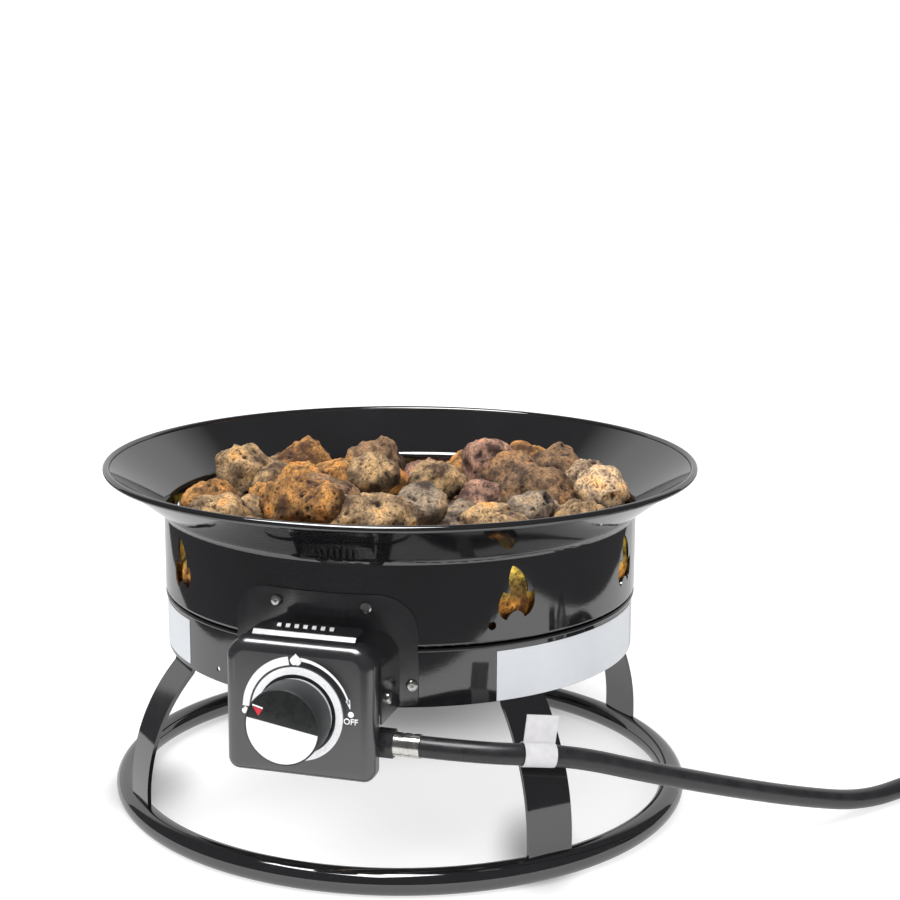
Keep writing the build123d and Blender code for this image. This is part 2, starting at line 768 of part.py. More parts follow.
def valve_bracket():
    """A hat-shaped bracket: a tunnel behind the panel with a flange round the bowl and the band."""
    inner = arch(tunnel_half - bracket_sheet, bracket_bottom - overrun, tunnel_top - bracket_sheet,
                 tunnel_corner - bracket_sheet)
    outer = arch(tunnel_half, bracket_bottom, tunnel_top, tunnel_corner)
    flange = arch(flange_half, bracket_bottom, flange_top, flange_corner)
    flange = fillet(flange.vertices().group_by(Axis.Y)[0], flange_foot_corner)
    back = drum_radius * cos(radians(2 * tab_screw_azimuth))
    tunnel = front_block(outer, back, tunnel_front)
    sheet = front_block(flange, back, tunnel_front)
    inside = front_block(inner, back - overrun, tunnel_front + overrun)
    high = flange_top - joggle_height
    low = joggle_height - bracket_bottom
    on_drum = Pos(0, 0, joggle_height + high / 2) * Cylinder(drum_radius, high + overrun)
    on_band = Pos(0, 0, bracket_bottom + low / 2) * Cylinder(band_radius, low + overrun)
    skin_high = Pos(0, 0, joggle_height + high / 2) * (
        Cylinder(drum_radius + bracket_sheet, high) - Cylinder(drum_radius, high))
    lap = low + bracket_sheet
    skin_low = Pos(0, 0, bracket_bottom + lap / 2) * (
        Cylinder(band_radius + bracket_sheet, lap) - Cylinder(band_radius, lap))
    shape = tunnel - on_drum - on_band + (sheet & skin_high) + (sheet & skin_low) - inside
    drills = [wall_drill(side * top_screw_azimuth, top_screw_height, screw_radius + fit_gap, drum_radius)
              for side in (-1, 1)]
    drills += [wall_drill(side * tab_screw_azimuth, tab_screw_height, screw_radius + fit_gap, band_radius)
               for side in (-1, 1)]
    return shape - drills - side_drill()


parts["control_panel"] = control_panel()
parts["valve_bracket"] = valve_bracket()
seats = [facing(side * top_screw_azimuth, drum_radius + bracket_sheet, top_screw_height) for side in (-1, 1)]
seats += [facing(side * tab_screw_azimuth, band_radius + bracket_sheet, tab_screw_height) for side in (-1, 1)]
parts["bracket_screws"] = Compound(children=[seat * pan_head() for seat in seats])
side_seats = [Plane(origin=(side * tunnel_half, -side_screw_distance, tab_screw_height), z_dir=(side, 0, 0))
              for side in (-1, 1)]
parts["panel_screws"] = Compound(children=[seat * pan_head() for seat in side_seats])

# Valve and knob, drawn as radius and distance from the bowl's axis, about the dial's axis
dial = Plane(origin=(dial_x, 0, dial_height), x_dir=(1, 0, 0), z_dir=(0, -1, 0))


def on_dial(profile):
    return dial * turned(profile)


def dial_block(width, height, near, far):
    """A block about the dial's axis between two distances."""
    return dial * Pos(0, 0, (near + far) / 2) * Box(width, height, far - near)


def valve_body():
    profile = bar(0, valve_radius, valve_back, cover_back) + bar(0, outlet_radius, outlet_end, valve_back)
    shape = on_dial(profile)
    foot = (dial_x, -hose_distance, inlet_boss_bottom)
    socket = (dial_x, -hose_distance, inlet_socket)
    heart = (dial_x, -hose_distance, dial_height)
    shape += rod(inlet_boss_radius, foot, heart)
    chamber = Polyline((0, plug_back - fit_gap), (plug_back_radius + fit_gap, plug_back - fit_gap),
                       (plug_front_radius + fit_gap, plug_front + fit_gap),
                       (chamber_radius, plug_front + fit_gap),
                       (chamber_radius, cover_back), (0, cover_back), close=True)
    shape -= on_dial(outline(chamber) + bar(0, gas_bore, outlet_end, plug_back))
    return shape - rod(elbow_radius, foot, socket) - rod(gas_bore, socket, heart)


def valve_cover():
    bore = stem_radius + fit_gap
    plate = bar(bore, valve_radius, cover_back, cover_front)
    return on_dial(plate + bar(bore, neck_outer, cover_front, neck_end))


def valve_nut():
    bore = Pos(0, 0, valve_nut_height / 2) * Cylinder(neck_outer, valve_nut_height)
    return dial * Pos(0, 0, bezel_front) * (hexagon(valve_nut_across, valve_nut_height) - bore)


def valve_plug():
    cone = Polyline((0, plug_back), (plug_back_radius, plug_back), (plug_front_radius, plug_front),
                    (0, plug_front), close=True)
    slot = dial_block(plug_slot, 4 * plug_front_radius, plug_front - plug_slot_depth, plug_front + overrun)
    port = dial * Pos(0, 0, plug_back + plug_port_setback) * Rot(90, 0, 0) * Cylinder(
        plug_port_radius, 4 * plug_front_radius)
    return on_dial(outline(cone)) - slot - port


def valve_stem():
    collar_front = cover_back - fit_gap
    shaft = bar(0, stem_radius, stem_back, stem_front)
    shaft += bar(0, collar_radius, collar_front - collar_sheet, collar_front)
    tang = dial_block(tang_sheet, tang_height, stem_back - tang_length, stem_back)
    flat = stem_flat_cut(knob_back + push_travel, stem_front)
    return on_dial(shaft) + tang - flat


def stem_flat_cut(near, far):
    """What the flat takes off the stem."""
    place = Pos(0, stem_flat + stem_radius, (near + far) / 2)
    return dial * place * Box(4 * stem_radius, 2 * stem_radius, far - near)


def control_knob():
    hub_back = knob_back + push_travel + neck_tip
    body = fillet(bar(0, knob_radius, knob_back, knob_front).vertices().group_by(Axis.X)[-1], knob_edge)
    hollow = bar(knob_hub, knob_radius - knob_wall, knob_back - overrun, knob_front - knob_web)
    hollow += bar(0, knob_hub, knob_back - overrun, hub_back)
    hollow += bar(0, cap_radius, knob_front - cap_sheet, knob_front + overrun)
    bore = on_dial(bar(0, stem_radius, hub_back - overrun, stem_front)) - stem_flat_cut(hub_back, stem_front)
    return on_dial(body - hollow) - bore


def biarc(start, leave, end, reach):
    """Two arcs from one point and direction to another."""
    span = end - start
    a = 2 * (leave.dot(reach) - 1)
    b = -2 * span.dot(leave + reach)
    c = span.dot(span)
    step = (-b - sqrt(b * b - 4 * a * c)) / (2 * a)
    near = start + leave * step
    far = end - reach * step
    middle = (near + far) / 2
    return [TangentArc(start, middle, tangent=leave), TangentArc(middle, end, tangent=far - near)]


def wound_path(place, turns, lead):
    """Biarcs of a quarter turn through a winding, with a straight lead at each end."""
    count = round(4 * turns)
    small = 1e-4
    spots = []
    for k in range(count + 1):
        n = turns * k / count
        spots.append((place(n), (place(n + small) - place(n - small)).normalized()))
    first, leave = spots[0]
    last, reach = spots[-1]
    edges = [Line(first - leave * lead, first)]
    for (p, t), (q, u) in zip(spots, spots[1:]):
        edges += biarc(p, t, q, u)
    edges.append(Line(last, last + reach * lead))
    return Wire([edge for line in edges for edge in line.edges()])


def tube(path, radius):
    """A round tube along a path."""
    return sweep(Plane(origin=path @ 0, z_dir=path % 0) * Circle(radius), path=path)


def least_gap(path, radius, apart):
    """The least gap between stretches of a tube that are further apart along it than a length."""
    steps = np.linspace(0, 1, 1200)
    points = np.array([tuple(path.position_at(s)) for s in steps])
    far = np.abs(steps[:, None] - steps[None]) * path.length > apart
    gaps = np.linalg.norm(points[:, None] - points[None], axis=2)
    return gaps[far].min() - 2 * radius


def return_spring():
    low = plug_front
    high = cover_back - fit_gap - collar_sheet
    rise = (high - low - 4 * spring_wire) / spring_turns

    def place(n):
        turn = 2 * pi * n
        return Vector(spring_radius * cos(turn), spring_radius * sin(turn), low + 2 * spring_wire + rise * n)

    path = wound_path(place, spring_turns, 2 * spring_wire)
    print("spring gap", round(least_gap(path, spring_wire, pi * spring_radius), 2))
    return dial * tube(path, spring_wire)


parts["dial_bezel"] = on_dial(bar(neck_outer + fit_gap, bezel_radius, panel_front, bezel_front))
parts["valve_body"] = valve_body()
parts["valve_cover"] = valve_cover()
parts["valve_nut"] = valve_nut()
parts["valve_plug"] = valve_plug()
parts["valve_stem"] = valve_stem()
parts["return_spring"] = return_spring()
parts["control_knob"] = control_knob()
parts["knob_face"] = on_dial(bar(0, cap_radius, knob_front - cap_sheet, knob_front))
jet = bar(0, jet_radius, jet_end, outlet_end) + bar(0, gas_bore, outlet_end, outlet_end + jet_stub)
parts["gas_jet"] = on_dial(jet - bar(0, jet_hole, jet_end, outlet_end + jet_stub))


# Hose fitting
def inlet_elbow():
    path = FilletPolyline((dial_x, -hose_distance, inlet_socket), (dial_x, -hose_distance, hose_height),
                          (nut_start + nut_socket, -hose_distance, hose_height), radius=elbow_bend)
    ring = Circle(elbow_radius) - Circle(elbow_bore)
    return sweep(Plane(origin=path @ 0, z_dir=path % 0) * ring, path=path)


def hose_nut():
    seat = Plane(origin=(nut_start, -hose_distance, hose_height), x_dir=(0, 0, 1), z_dir=(1, 0, 0))
    flat = nut_across / 2
    corner = flat + 2 * nut_chamfer
    cone = Polyline((0, 0), (flat, 0), (corner, nut_chamfer), (corner, nut_length - nut_chamfer),
                    (flat, nut_length), (0, nut_length), close=True)
    bore = bar(0, elbow_radius, 0, nut_socket) + bar(0, elbow_bore, nut_socket, nut_length)
    return seat * ((hexagon(nut_across, nut_length) & turned(outline(cone))) - turned(bore))


def crimp_ferrule():
    """A crimped sleeve with two pressed rings, standing on its plane."""
    profile = bar(0, ferrule_radius, 0, ferrule_length)
    for share in (1 / 3, 2 / 3):
        low = share * ferrule_length - crimp_width / 2
        profile -= bar(ferrule_radius - crimp_depth, ferrule_radius, low, low + crimp_width)
    return turned(profile)


parts["inlet_elbow"] = inlet_elbow()
parts["hose_nut"] = hose_nut()
ferrule_seat = Plane(origin=(nut_end, -hose_distance, hose_height), z_dir=(1, 0, 0))
parts["hose_ferrule"] = ferrule_seat * crimp_ferrule()

# Hose: the free run, the tied coil and the tail
coil_floor = tie_sheet + hose_radius
coil_count = coil_turns + coil_start_azimuth / 360


def coil_place(n):
    """A point of the coil after a number of turns: in along the floor, up a layer and out again."""
    middle = coil_count / 2
    from_middle = abs(n - middle)
    drawn = middle - from_middle
    climb = 0.0 if n < middle else 1.0
    if from_middle < coil_ease_share:
        drawn = middle - coil_ease_share / 2 - from_middle**2 / (2 * coil_ease_share)
        climb = (1 - cos(pi * (n - middle + coil_ease_share) / (2 * coil_ease_share))) / 2
    radius = coil_radius - coil_pitch * drawn
    turn = radians(coil_start_azimuth) - 2 * pi * n
    return Vector(coil_x + radius * cos(turn), coil_y + radius * sin(turn), coil_floor + coil_layer * climb)


def hose_run(path):
    """The free hose from the ferrule to the coil's start, with arcs as large as its runs allow."""
    start = Vector(ferrule_end, -hose_distance, hose_height)
    landing = path @ 0
    before = landing - (path % 0) * coil_lead
    lead = start + Vector(hose_lead, 0, 0)
    points = [start, lead, *[Vector(*p) for p in hose_points], before, landing]
    runs = [(b - a).length for a, b in zip(points, points[1:])]
    turns = [(b - a).get_angle(c - b) for a, b, c in zip(points, points[1:], points[2:])]
    radii = [run_share * min(runs[k], runs[k + 1]) / tan(radians(turns[k] / 2)) for k in range(len(turns))]
    print("hose radii", [round(r) for r in radii])
    return FilletPolyline(*points, radius=radii)


coil_path = wound_path(coil_place, coil_count, 2 * hose_radius)
run_path = hose_run(coil_path)
print("coil gap", round(least_gap(coil_path, hose_radius, pi * hose_radius), 2))
parts["hose_run"] = tube(run_path, hose_radius)
parts["hose_coil"] = tube(coil_path, hose_radius)
coil_end = coil_path @ 1
coil_out = coil_path % 1
tail_end = coil_end + coil_out * tail_length
parts["hose_tail"] = rod(hose_radius, coil_end, tail_end)
hose_length = run_path.length + coil_path.length + tail_length
print("hose length", round(hose_length))
section = pi * hose_radius**2
print("run volume share", round(parts["hose_run"].volume / (section * run_path.length), 4),
      "coil volume share", round(parts["hose_coil"].volume / (section * coil_path.length), 4))


def hose_tie():
    """A strap round the bundle of turns."""
    inner_edge = coil_radius - coil_pitch * coil_count / 2 - hose_radius
    outer_edge = coil_radius + hose_radius
    width = outer_edge - inner_edge + 2 * tie_gap
    height = coil_layer + 2 * hose_radius + tie_gap
    hole = fillet(Rectangle(width, height).vertices(), tie_corner)
    loop = fillet(Rectangle(width + 2 * tie_sheet, height + 2 * tie_sheet).vertices(), tie_corner + tie_sheet)
    turn = radians(tie_azimuth)
    out = Vector(cos(turn), sin(turn), 0)
    middle = Vector(coil_x, coil_y, tie_sheet + height / 2) + out * (inner_edge + outer_edge) / 2
    frame = Plane(origin=middle, x_dir=out, z_dir=(sin(turn), -cos(turn), 0))
    return frame * extrude(loop - hole, amount=tie_width / 2, both=True)


def hose_tag():
    """A blank wrapped tag: a sleeve round the hose with a flag above it."""
    a = Vector(ferrule_end + hose_lead, -hose_distance, hose_height)
    b = Vector(*hose_points[0])
    place = a + (b - a) * tag_place_share
    steps = [k / 400 for k in range(401)]
    step = min(steps, key=lambda k: (run_path.position_at(k) - place).length)
    bore = hose_radius + tag_gap
    frame = Plane(origin=run_path.position_at(step), x_dir=(0, 0, 1), z_dir=run_path.tangent_at(step))
    sleeve = Circle(bore + tag_sheet) - Circle(bore)
    flag = Pos(bore + tag_height / 2, 0) * Rectangle(tag_height, 2 * tag_sheet)
    return frame * extrude(sleeve + flag, amount=tag_length / 2, both=True)


parts["hose_tie"] = hose_tie()
parts["hose_tag"] = hose_tag()

# Regulator, drawn along its gas way from the ferrule, with its bonnet up
gas_way = Plane(origin=tail_end, z_dir=coil_out)
ferrule_out = ferrule_length
body_centre = ferrule_out + boss_length + regulator_radius
boss_end = body_centre + regulator_radius + boss_length
nipple_nose_start = boss_end + nipple_neck_length + nipple_collar_length
body_spot = tail_end + coil_out * body_centre
upright = Pos(body_spot.X, body_spot.Y, 0)


def regulator_body():
    can = bar(0, regulator_radius, 0, regulator_height)
    can = fillet(can.vertices().group_by(Axis.X)[-1].sort_by(Axis.Y)[0], regulator_foot)
    pipe = gas_way * turned(bar(0, regulator_boss, ferrule_out, boss_end))
    return upright * turned(can) + pipe


def regulator_bonnet():
    top = regulator_height + bonnet_height
    cap = outline(FilletPolyline((0, regulator_height), (bonnet_radius, regulator_height),
                                 (bonnet_radius, regulator_height + bonnet_flange),
                                 (bonnet_top_radius + bonnet_round, regulator_height + bonnet_flange),
                                 (bonnet_top_radius, top), (0, top), radius=bonnet_edge, close=False),
                  Line((0, top), (0, regulator_height)))
    return upright * turned(cap)


def vent_cap():
    low = regulator_height + bonnet_height
    cap = bar(0, vent_cap_radius, low, low + vent_cap_height)
    cap = fillet(cap.vertices().group_by(Axis.X)[-1].sort_by(Axis.Y)[-1], vent_cap_round)
    return upright * turned(cap)


def inlet_nipple():
    profile = bar(0, nipple_neck, boss_end, boss_end + nipple_neck_length)
    profile += bar(0, nipple_collar, boss_end + nipple_neck_length, nipple_nose_start)
    profile += bar(0, nipple_nose, nipple_nose_start, nipple_nose_start + nipple_nose_length)
    return gas_way * turned(profile - bar(0, gas_bore, boss_end, nipple_nose_start + nipple_nose_length))


def nipple_seal():
    low = nipple_nose_start + nipple_nose_length
    bulb = bar(gas_bore, seal_radius, low, low + seal_length)
    bulb = fillet(bulb.vertices().group_by(Axis.X)[-1], seal_length / 3)
    return gas_way * turned(bulb)


def coupling_nut():
    back = boss_end + nipple_neck_length - nut_wall - running_gap
    shell = bar(nipple_neck + running_gap, coupling_radius, back, back + coupling_length)
    shell -= bar(0, coupling_bore, back + nut_wall, back + coupling_length)
    rib = Pos(coupling_radius, 0, back + coupling_length / 2) * Cylinder(rib_radius, coupling_length)
    return gas_way * (turned(shell) + ring_copies(rib, coupling_ribs))


parts["regulator_ferrule"] = gas_way * crimp_ferrule()
parts["regulator_body"] = regulator_body()
parts["regulator_bonnet"] = regulator_bonnet()
parts["vent_cap"] = vent_cap()
parts["inlet_nipple"] = inlet_nipple()
parts["nipple_seal"] = nipple_seal()
parts["coupling_nut"] = coupling_nut()

os.makedirs("parts", exist_ok=True)
for name, shape in parts.items():
    export_step(shape, f"parts/{name}.step")
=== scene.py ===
from math import cos, pi, radians, sin
import bpy
import bmesh
from mathutils import Matrix, Vector


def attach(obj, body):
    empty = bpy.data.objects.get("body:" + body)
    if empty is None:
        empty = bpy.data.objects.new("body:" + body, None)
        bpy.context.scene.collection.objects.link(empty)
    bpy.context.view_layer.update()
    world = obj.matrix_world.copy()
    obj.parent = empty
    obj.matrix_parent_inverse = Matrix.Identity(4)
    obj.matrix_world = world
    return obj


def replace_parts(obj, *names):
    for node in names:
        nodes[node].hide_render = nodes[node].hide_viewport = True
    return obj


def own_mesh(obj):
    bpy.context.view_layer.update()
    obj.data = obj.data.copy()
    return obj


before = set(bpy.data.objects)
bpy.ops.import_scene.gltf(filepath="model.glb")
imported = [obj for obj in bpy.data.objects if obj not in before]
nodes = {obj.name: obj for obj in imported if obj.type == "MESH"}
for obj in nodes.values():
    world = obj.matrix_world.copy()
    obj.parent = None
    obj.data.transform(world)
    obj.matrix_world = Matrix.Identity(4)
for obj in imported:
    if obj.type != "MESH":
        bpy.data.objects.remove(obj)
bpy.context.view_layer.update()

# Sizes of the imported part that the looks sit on, in metres
BAND = 0.1915
WALL_IN = 0.1908
CREASE = 0.241
PANEL_FRONT = -0.243
KNOB_FRONT = -0.2735
DIAL_X = 0.0
DIAL_Z = 0.1397
CAP_R = 0.0268
COIL_X = 0.552
COIL_Y = 0.095
HOSE_THICK = 0.0158
PRINT_THICK = 0.00015

# View: the camera's place, turn about the upright in radians and dip in degrees
VIEW_PLACE = (0.4371, -1.3863, 0.5771)
VIEW_TURN = radians(17.5)
VIEW_DIP = 11.4
ALONG_VIEW = Matrix.Rotation(VIEW_TURN, 4, "Z")

# Light levels
FLOOR_GLOW = 0.66
FLOOR_TINT = 0.52
SHEET_GLOW = 0.62
ROOM_FILL = 1.0

# Floor: its size and how far its middle lies along the view
FLOOR_WIDE = 9.0
FLOOR_DEEP = 7.5
FLOOR_MIDDLE = 2.6
# Painted floor shadows: spots where the floor's glow fades, so the floor shows darker there; place across and
# along the view, half width, half depth, share of glow left in the middle
FLOOR_PAINTED_SHADOWS = (
    (0.0, 0.21, 0.26, 0.20, 0.0),
    (-0.212, -0.020, 0.055, 0.090, 0.1),
    (0.105, -0.150, 0.042, 0.110, 0.1),
)


# Modelling by hand
def pick_none():
    if bpy.context.object and bpy.context.object.mode != "OBJECT":
        bpy.ops.object.mode_set(mode="OBJECT")
    bpy.ops.object.select_all(action="DESELECT")


def make_active(piece):
    pick_none()
    piece.select_set(True)
    bpy.context.view_layer.objects.active = piece


def place_applied(piece):
    """Puts a piece's place, turn and scale into its mesh."""
    make_active(piece)
    bpy.ops.object.transform_apply(location=True, rotation=True, scale=True)


def named(name):
    """Names what was just added, with its place put into its mesh."""
    piece = bpy.context.object
    place_applied(piece)
    piece.name = name
    piece.data.name = name
    return piece


def modify(piece, kind, **values):
    make_active(piece)
    modifier = piece.modifiers.new(kind.lower(), kind)
    for key, value in values.items():
        setattr(modifier, key, value)
    bpy.ops.object.modifier_apply(modifier=modifier.name)


def in_edit(piece, test, kind="faces"):
    """Opens a piece in edit mode with the faces or edges selected that pass a test."""
    make_active(piece)
    bpy.ops.object.mode_set(mode="EDIT")
    bpy.ops.mesh.select_all(action="DESELECT")
    bpy.ops.mesh.select_mode(type="FACE" if kind == "faces" else "EDGE")
    form = bmesh.from_edit_mesh(piece.data)
    for item in getattr(form, kind):
        if test(item):
            item.select_set(True)
    bmesh.update_edit_mesh(piece.data)


def whole_in_edit():
    bpy.ops.object.mode_set(mode="EDIT")
    bpy.ops.mesh.select_all(action="SELECT")


def leave_edit():
    bpy.ops.object.mode_set(mode="OBJECT")


def smooth(piece, angle=30):
    make_active(piece)
    bpy.ops.object.shade_smooth_by_angle(angle=radians(angle))


def joined(name, pieces):
    pick_none()
    for piece in pieces:
        piece.select_set(True)
    bpy.context.view_layer.objects.active = pieces[0]
    bpy.ops.object.join()
    return named(name)


def copied(name, node):
    """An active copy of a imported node, with a mesh of its own."""
    piece = bpy.data.objects.new(name, nodes[node].data.copy())
    bpy.context.scene.collection.objects.link(piece)
    make_active(piece)
    return piece


def dressed(piece, look, body="stand"):
    """Gives a piece its finish and the body it moves with."""
    piece.data.materials.clear()
    piece.data.materials.append(look)
    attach(piece, body)
    return piece


# Finishes
def noise_node(tree, scale, detail=4.0, rough=0.5):
    """Noise on the piece's own coordinates."""
    place = tree.nodes.new("ShaderNodeTexCoord")
    grain = tree.nodes.new("ShaderNodeTexNoise")
    grain.inputs["Scale"].default_value = scale
    grain.inputs["Detail"].default_value = detail
    grain.inputs["Roughness"].default_value = rough
    tree.links.new(place.outputs["Object"], grain.inputs["Vector"])
    return grain


def ramp_node(tree, source, stops):
    ramp = tree.nodes.new("ShaderNodeValToRGB")
    while len(ramp.color_ramp.elements) < len(stops):
        ramp.color_ramp.elements.new(0.5)
    for element, (place, colour) in zip(ramp.color_ramp.elements, stops):
        element.position = place
        element.color = (*colour, 1)
    tree.links.new(source, ramp.inputs["Fac"])
    return ramp


def range_node(tree, source, low, high, start=0.3, end=0.7):
    spread = tree.nodes.new("ShaderNodeMapRange")
    spread.inputs["From Min"].default_value = start
    spread.inputs["From Max"].default_value = end
    spread.inputs["To Min"].default_value = low
    spread.inputs["To Max"].default_value = high
    tree.links.new(source, spread.inputs["Value"])
    return spread


def bump_node(tree, height, strength, depth):
    bumps = tree.nodes.new("ShaderNodeBump")
    bumps.inputs["Strength"].default_value = strength
    bumps.inputs["Distance"].default_value = depth
    tree.links.new(height, bumps.inputs["Height"])
    return bumps


def finish(name, tints, rough, grain, bump=None, metallic=0.0, **sockets):
    """A finish whose colour and gloss drift over the surface, with a fine relief."""
    material = bpy.data.materials.new(name)
    material.use_nodes = True
    tree = material.node_tree
    shader = tree.nodes["Principled BSDF"]
    shader.inputs["Metallic"].default_value = metallic
    for key, value in sockets.items():
        shader.inputs[key.replace("_", " ")].default_value = value
    drift = noise_node(tree, grain)
    ramp = ramp_node(tree, drift.outputs["Fac"], [(0.3, tints[0]), (0.7, tints[1])])
    tree.links.new(ramp.outputs["Color"], shader.inputs["Base Color"])
    spread = range_node(tree, drift.outputs["Fac"], *rough)
    tree.links.new(spread.outputs["Result"], shader.inputs["Roughness"])
    if bump:
        scale, depth = bump
        relief = noise_node(tree, scale, 3.0)
        bumps = bump_node(tree, relief.outputs["Fac"], 1.0, depth)
        tree.links.new(bumps.outputs["Normal"], shader.inputs["Normal"])
    return material


enamel = finish("gloss_black_enamel", [(0.006, 0.006, 0.0065), (0.009, 0.009, 0.010)], (0.045, 0.075), 14.0,
                bump=(420.0, 0.000008), IOR=2.1)
box_paint = finish("satin_box_paint", [(0.012, 0.012, 0.0135), (0.018, 0.018, 0.020)], (0.20, 0.27), 30.0,
                   bump=(1500.0, 0.000006), IOR=2.15)
bracket_paint = finish("bracket_paint", [(0.010, 0.010, 0.011), (0.016, 0.016, 0.017)], (0.10, 0.17), 40.0,
                       bump=(900.0, 0.000012), IOR=2.0)
pan_paint = finish("heat_proof_paint", [(0.035, 0.034, 0.033), (0.06, 0.058, 0.055)], (0.6, 0.75), 60.0,
                   bump=(800.0, 0.00005))
burner_steel = finish("heat_tinted_steel", [(0.30, 0.27, 0.24), (0.46, 0.44, 0.42)], (0.35, 0.5), 50.0,
                      bump=(500.0, 0.00004), metallic=1.0)
zinc = finish("zinc_plate", [(0.52, 0.53, 0.54), (0.66, 0.66, 0.65)], (0.22, 0.36), 120.0,
              bump=(900.0, 0.00002), metallic=1.0)
screw_plate = finish("bright_screw_plate", [(0.62, 0.61, 0.58), (0.78, 0.77, 0.74)], (0.12, 0.22), 300.0,
                     bump=(1500.0, 0.00002), metallic=1.0)
brass = finish("turned_brass", [(0.56, 0.40, 0.15), (0.70, 0.53, 0.24)], (0.2, 0.32), 150.0,
               bump=(1200.0, 0.00002), metallic=1.0)
bezel_plate = finish("satin_bezel_plate", [(0.93, 0.94, 0.95), (0.97, 0.97, 0.98)], (0.24, 0.30), 60.0,
                     metallic=0.10)
knob_plastic = finish("grey_knob_plastic", [(0.016, 0.017, 0.018), (0.024, 0.025, 0.027)], (0.42, 0.50), 120.0,
                      bump=(2600.0, 0.000006))
# Dark print on the knob, also used as painted shade in the ring between knob and bezel
print_black_and_gap_shade = finish("knob_print_black", [(0.012, 0.013, 0.013), (0.018, 0.019, 0.019)], (0.18, 0.26), 250.0)
print_white = finish("knob_print_white", [(0.80, 0.80, 0.80), (0.84, 0.84, 0.84)], (0.25, 0.33), 250.0)
print_red = finish("pointer_red", [(0.52, 0.012, 0.030), (0.60, 0.016, 0.036)], (0.25, 0.33), 250.0)
dial_ink = finish("dial_ink", [(0.82, 0.82, 0.82), (0.88, 0.88, 0.88)], (0.4, 0.5), 300.0)
spring_wire = finish("spring_wire", [(0.42, 0.42, 0.42), (0.52, 0.52, 0.52)], (0.3, 0.4), 500.0, metallic=1.0)
hose_rubber = finish("smooth_hose_rubber", [(0.014, 0.014, 0.015), (0.022, 0.022, 0.024)], (0.26, 0.36), 90.0,
                     bump=(700.0, 0.00003), Specular_IOR_Level=0.6)
nut_black = finish("black_nut", [(0.016, 0.016, 0.018), (0.026, 0.026, 0.029)], (0.22, 0.34), 200.0,
                   bump=(900.0, 0.00003), Specular_IOR_Level=0.8)
ferrule_plate = finish("plated_ferrule", [(0.66, 0.65, 0.60), (0.80, 0.79, 0.75)], (0.14, 0.26), 240.0,
                       bump=(1200.0, 0.00002), metallic=1.0)
tag_film = finish("blank_tag_film", [(0.50, 0.49, 0.50), (0.57, 0.56, 0.57)], (0.35, 0.5), 160.0,
                  bump=(180.0, 0.0002))
tie_strap = finish("black_strap", [(0.018, 0.018, 0.018), (0.030, 0.030, 0.030)], (0.6, 0.75), 300.0,
                   bump=(1200.0, 0.0001))
cast_grey = finish("die_cast_grey", [(0.34, 0.35, 0.36), (0.44, 0.45, 0.46)], (0.38, 0.52), 150.0,
                   bump=(900.0, 0.00006), metallic=1.0)
cap_plastic = finish("black_cap_plastic", [(0.022, 0.022, 0.024), (0.034, 0.034, 0.037)], (0.4, 0.5), 200.0,
                     bump=(1500.0, 0.00003))
label_film = finish("blank_label_film", [(0.59, 0.61, 0.64), (0.62, 0.64, 0.67)], (0.28, 0.34), 40.0,
                    Specular_IOR_Level=0.6)


def lava_finish():
    """Porous stone: the stone's tint from its points, with their painted shade and fire glow, darkened in
    patches, specks and pin holes, and with painted shade in its pits, darker the deeper they are.
    """
    material = bpy.data.materials.new("lava_stone")
    material.use_nodes = True
    tree = material.node_tree
    shader = tree.nodes["Principled BSDF"]
    tint = tree.nodes.new("ShaderNodeAttribute")
    tint.attribute_name = "stone_tint"
    pore = tree.nodes.new("ShaderNodeAttribute")
    pore.attribute_name = "stone_pore"
    patch = noise_node(tree, 48.0, 6.0, 0.62)
    warm = ramp_node(tree, patch.outputs["Fac"], [(0.38, (0.15, 0.115, 0.11)), (0.49, (0.66, 0.64, 0.62)),
                                                  (0.57, (1.16, 1.13, 1.06)), (0.68, (1.52, 1.13, 0.67))])
    speck = noise_node(tree, 420.0, 7.0, 0.75)
    grain = ramp_node(tree, speck.outputs["Fac"], [(0.34, (0.22, 0.19, 0.18)), (0.49, (0.86, 0.86, 0.86)),
                                                   (0.66, (1.42, 1.40, 1.34))])
    place = tree.nodes.new("ShaderNodeTexCoord")
    cells = tree.nodes.new("ShaderNodeTexVoronoi")
    cells.inputs["Scale"].default_value = 330.0
    cells.inputs["Randomness"].default_value = 1.0
    tree.links.new(place.outputs["Object"], cells.inputs["Vector"])
    pin = ramp_node(tree, cells.outputs["Distance"], [(0.10, (0.20, 0.16, 0.14)), (0.26, (1, 1, 1))])
    # Painted shade: pits darken with their depth
    pit_shade = ramp_node(tree, pore.outputs["Fac"], [(0.12, (1, 1, 1)), (0.75, (0.13, 0.10, 0.085))])
    colour = tint.outputs["Color"]
    for other in (warm, grain, pin, pit_shade):
        mix = tree.nodes.new("ShaderNodeMix")
        mix.data_type = "RGBA"
        mix.blend_type = "MULTIPLY"
        mix.inputs["Factor"].default_value = 1.0
        tree.links.new(colour, mix.inputs["A"])
        tree.links.new(other.outputs["Color"], mix.inputs["B"])
        colour = mix.outputs["Result"]
    tree.links.new(colour, shader.inputs["Base Color"])
    gloss = range_node(tree, speck.outputs["Fac"], 0.78, 0.95)
    tree.links.new(gloss.outputs["Result"], shader.inputs["Roughness"])
    height = tree.nodes.new("ShaderNodeMath")
    height.operation = "MULTIPLY_ADD"
    height.inputs[1].default_value = 0.7
    tree.links.new(speck.outputs["Fac"], height.inputs[0])
    tree.links.new(pin.outputs["Color"], height.inputs[2])
    bumps = bump_node(tree, height.outputs["Value"], 0.9, 0.0009)
    tree.links.new(bumps.outputs["Normal"], shader.inputs["Normal"])
    return material


lava_stone = lava_finish()

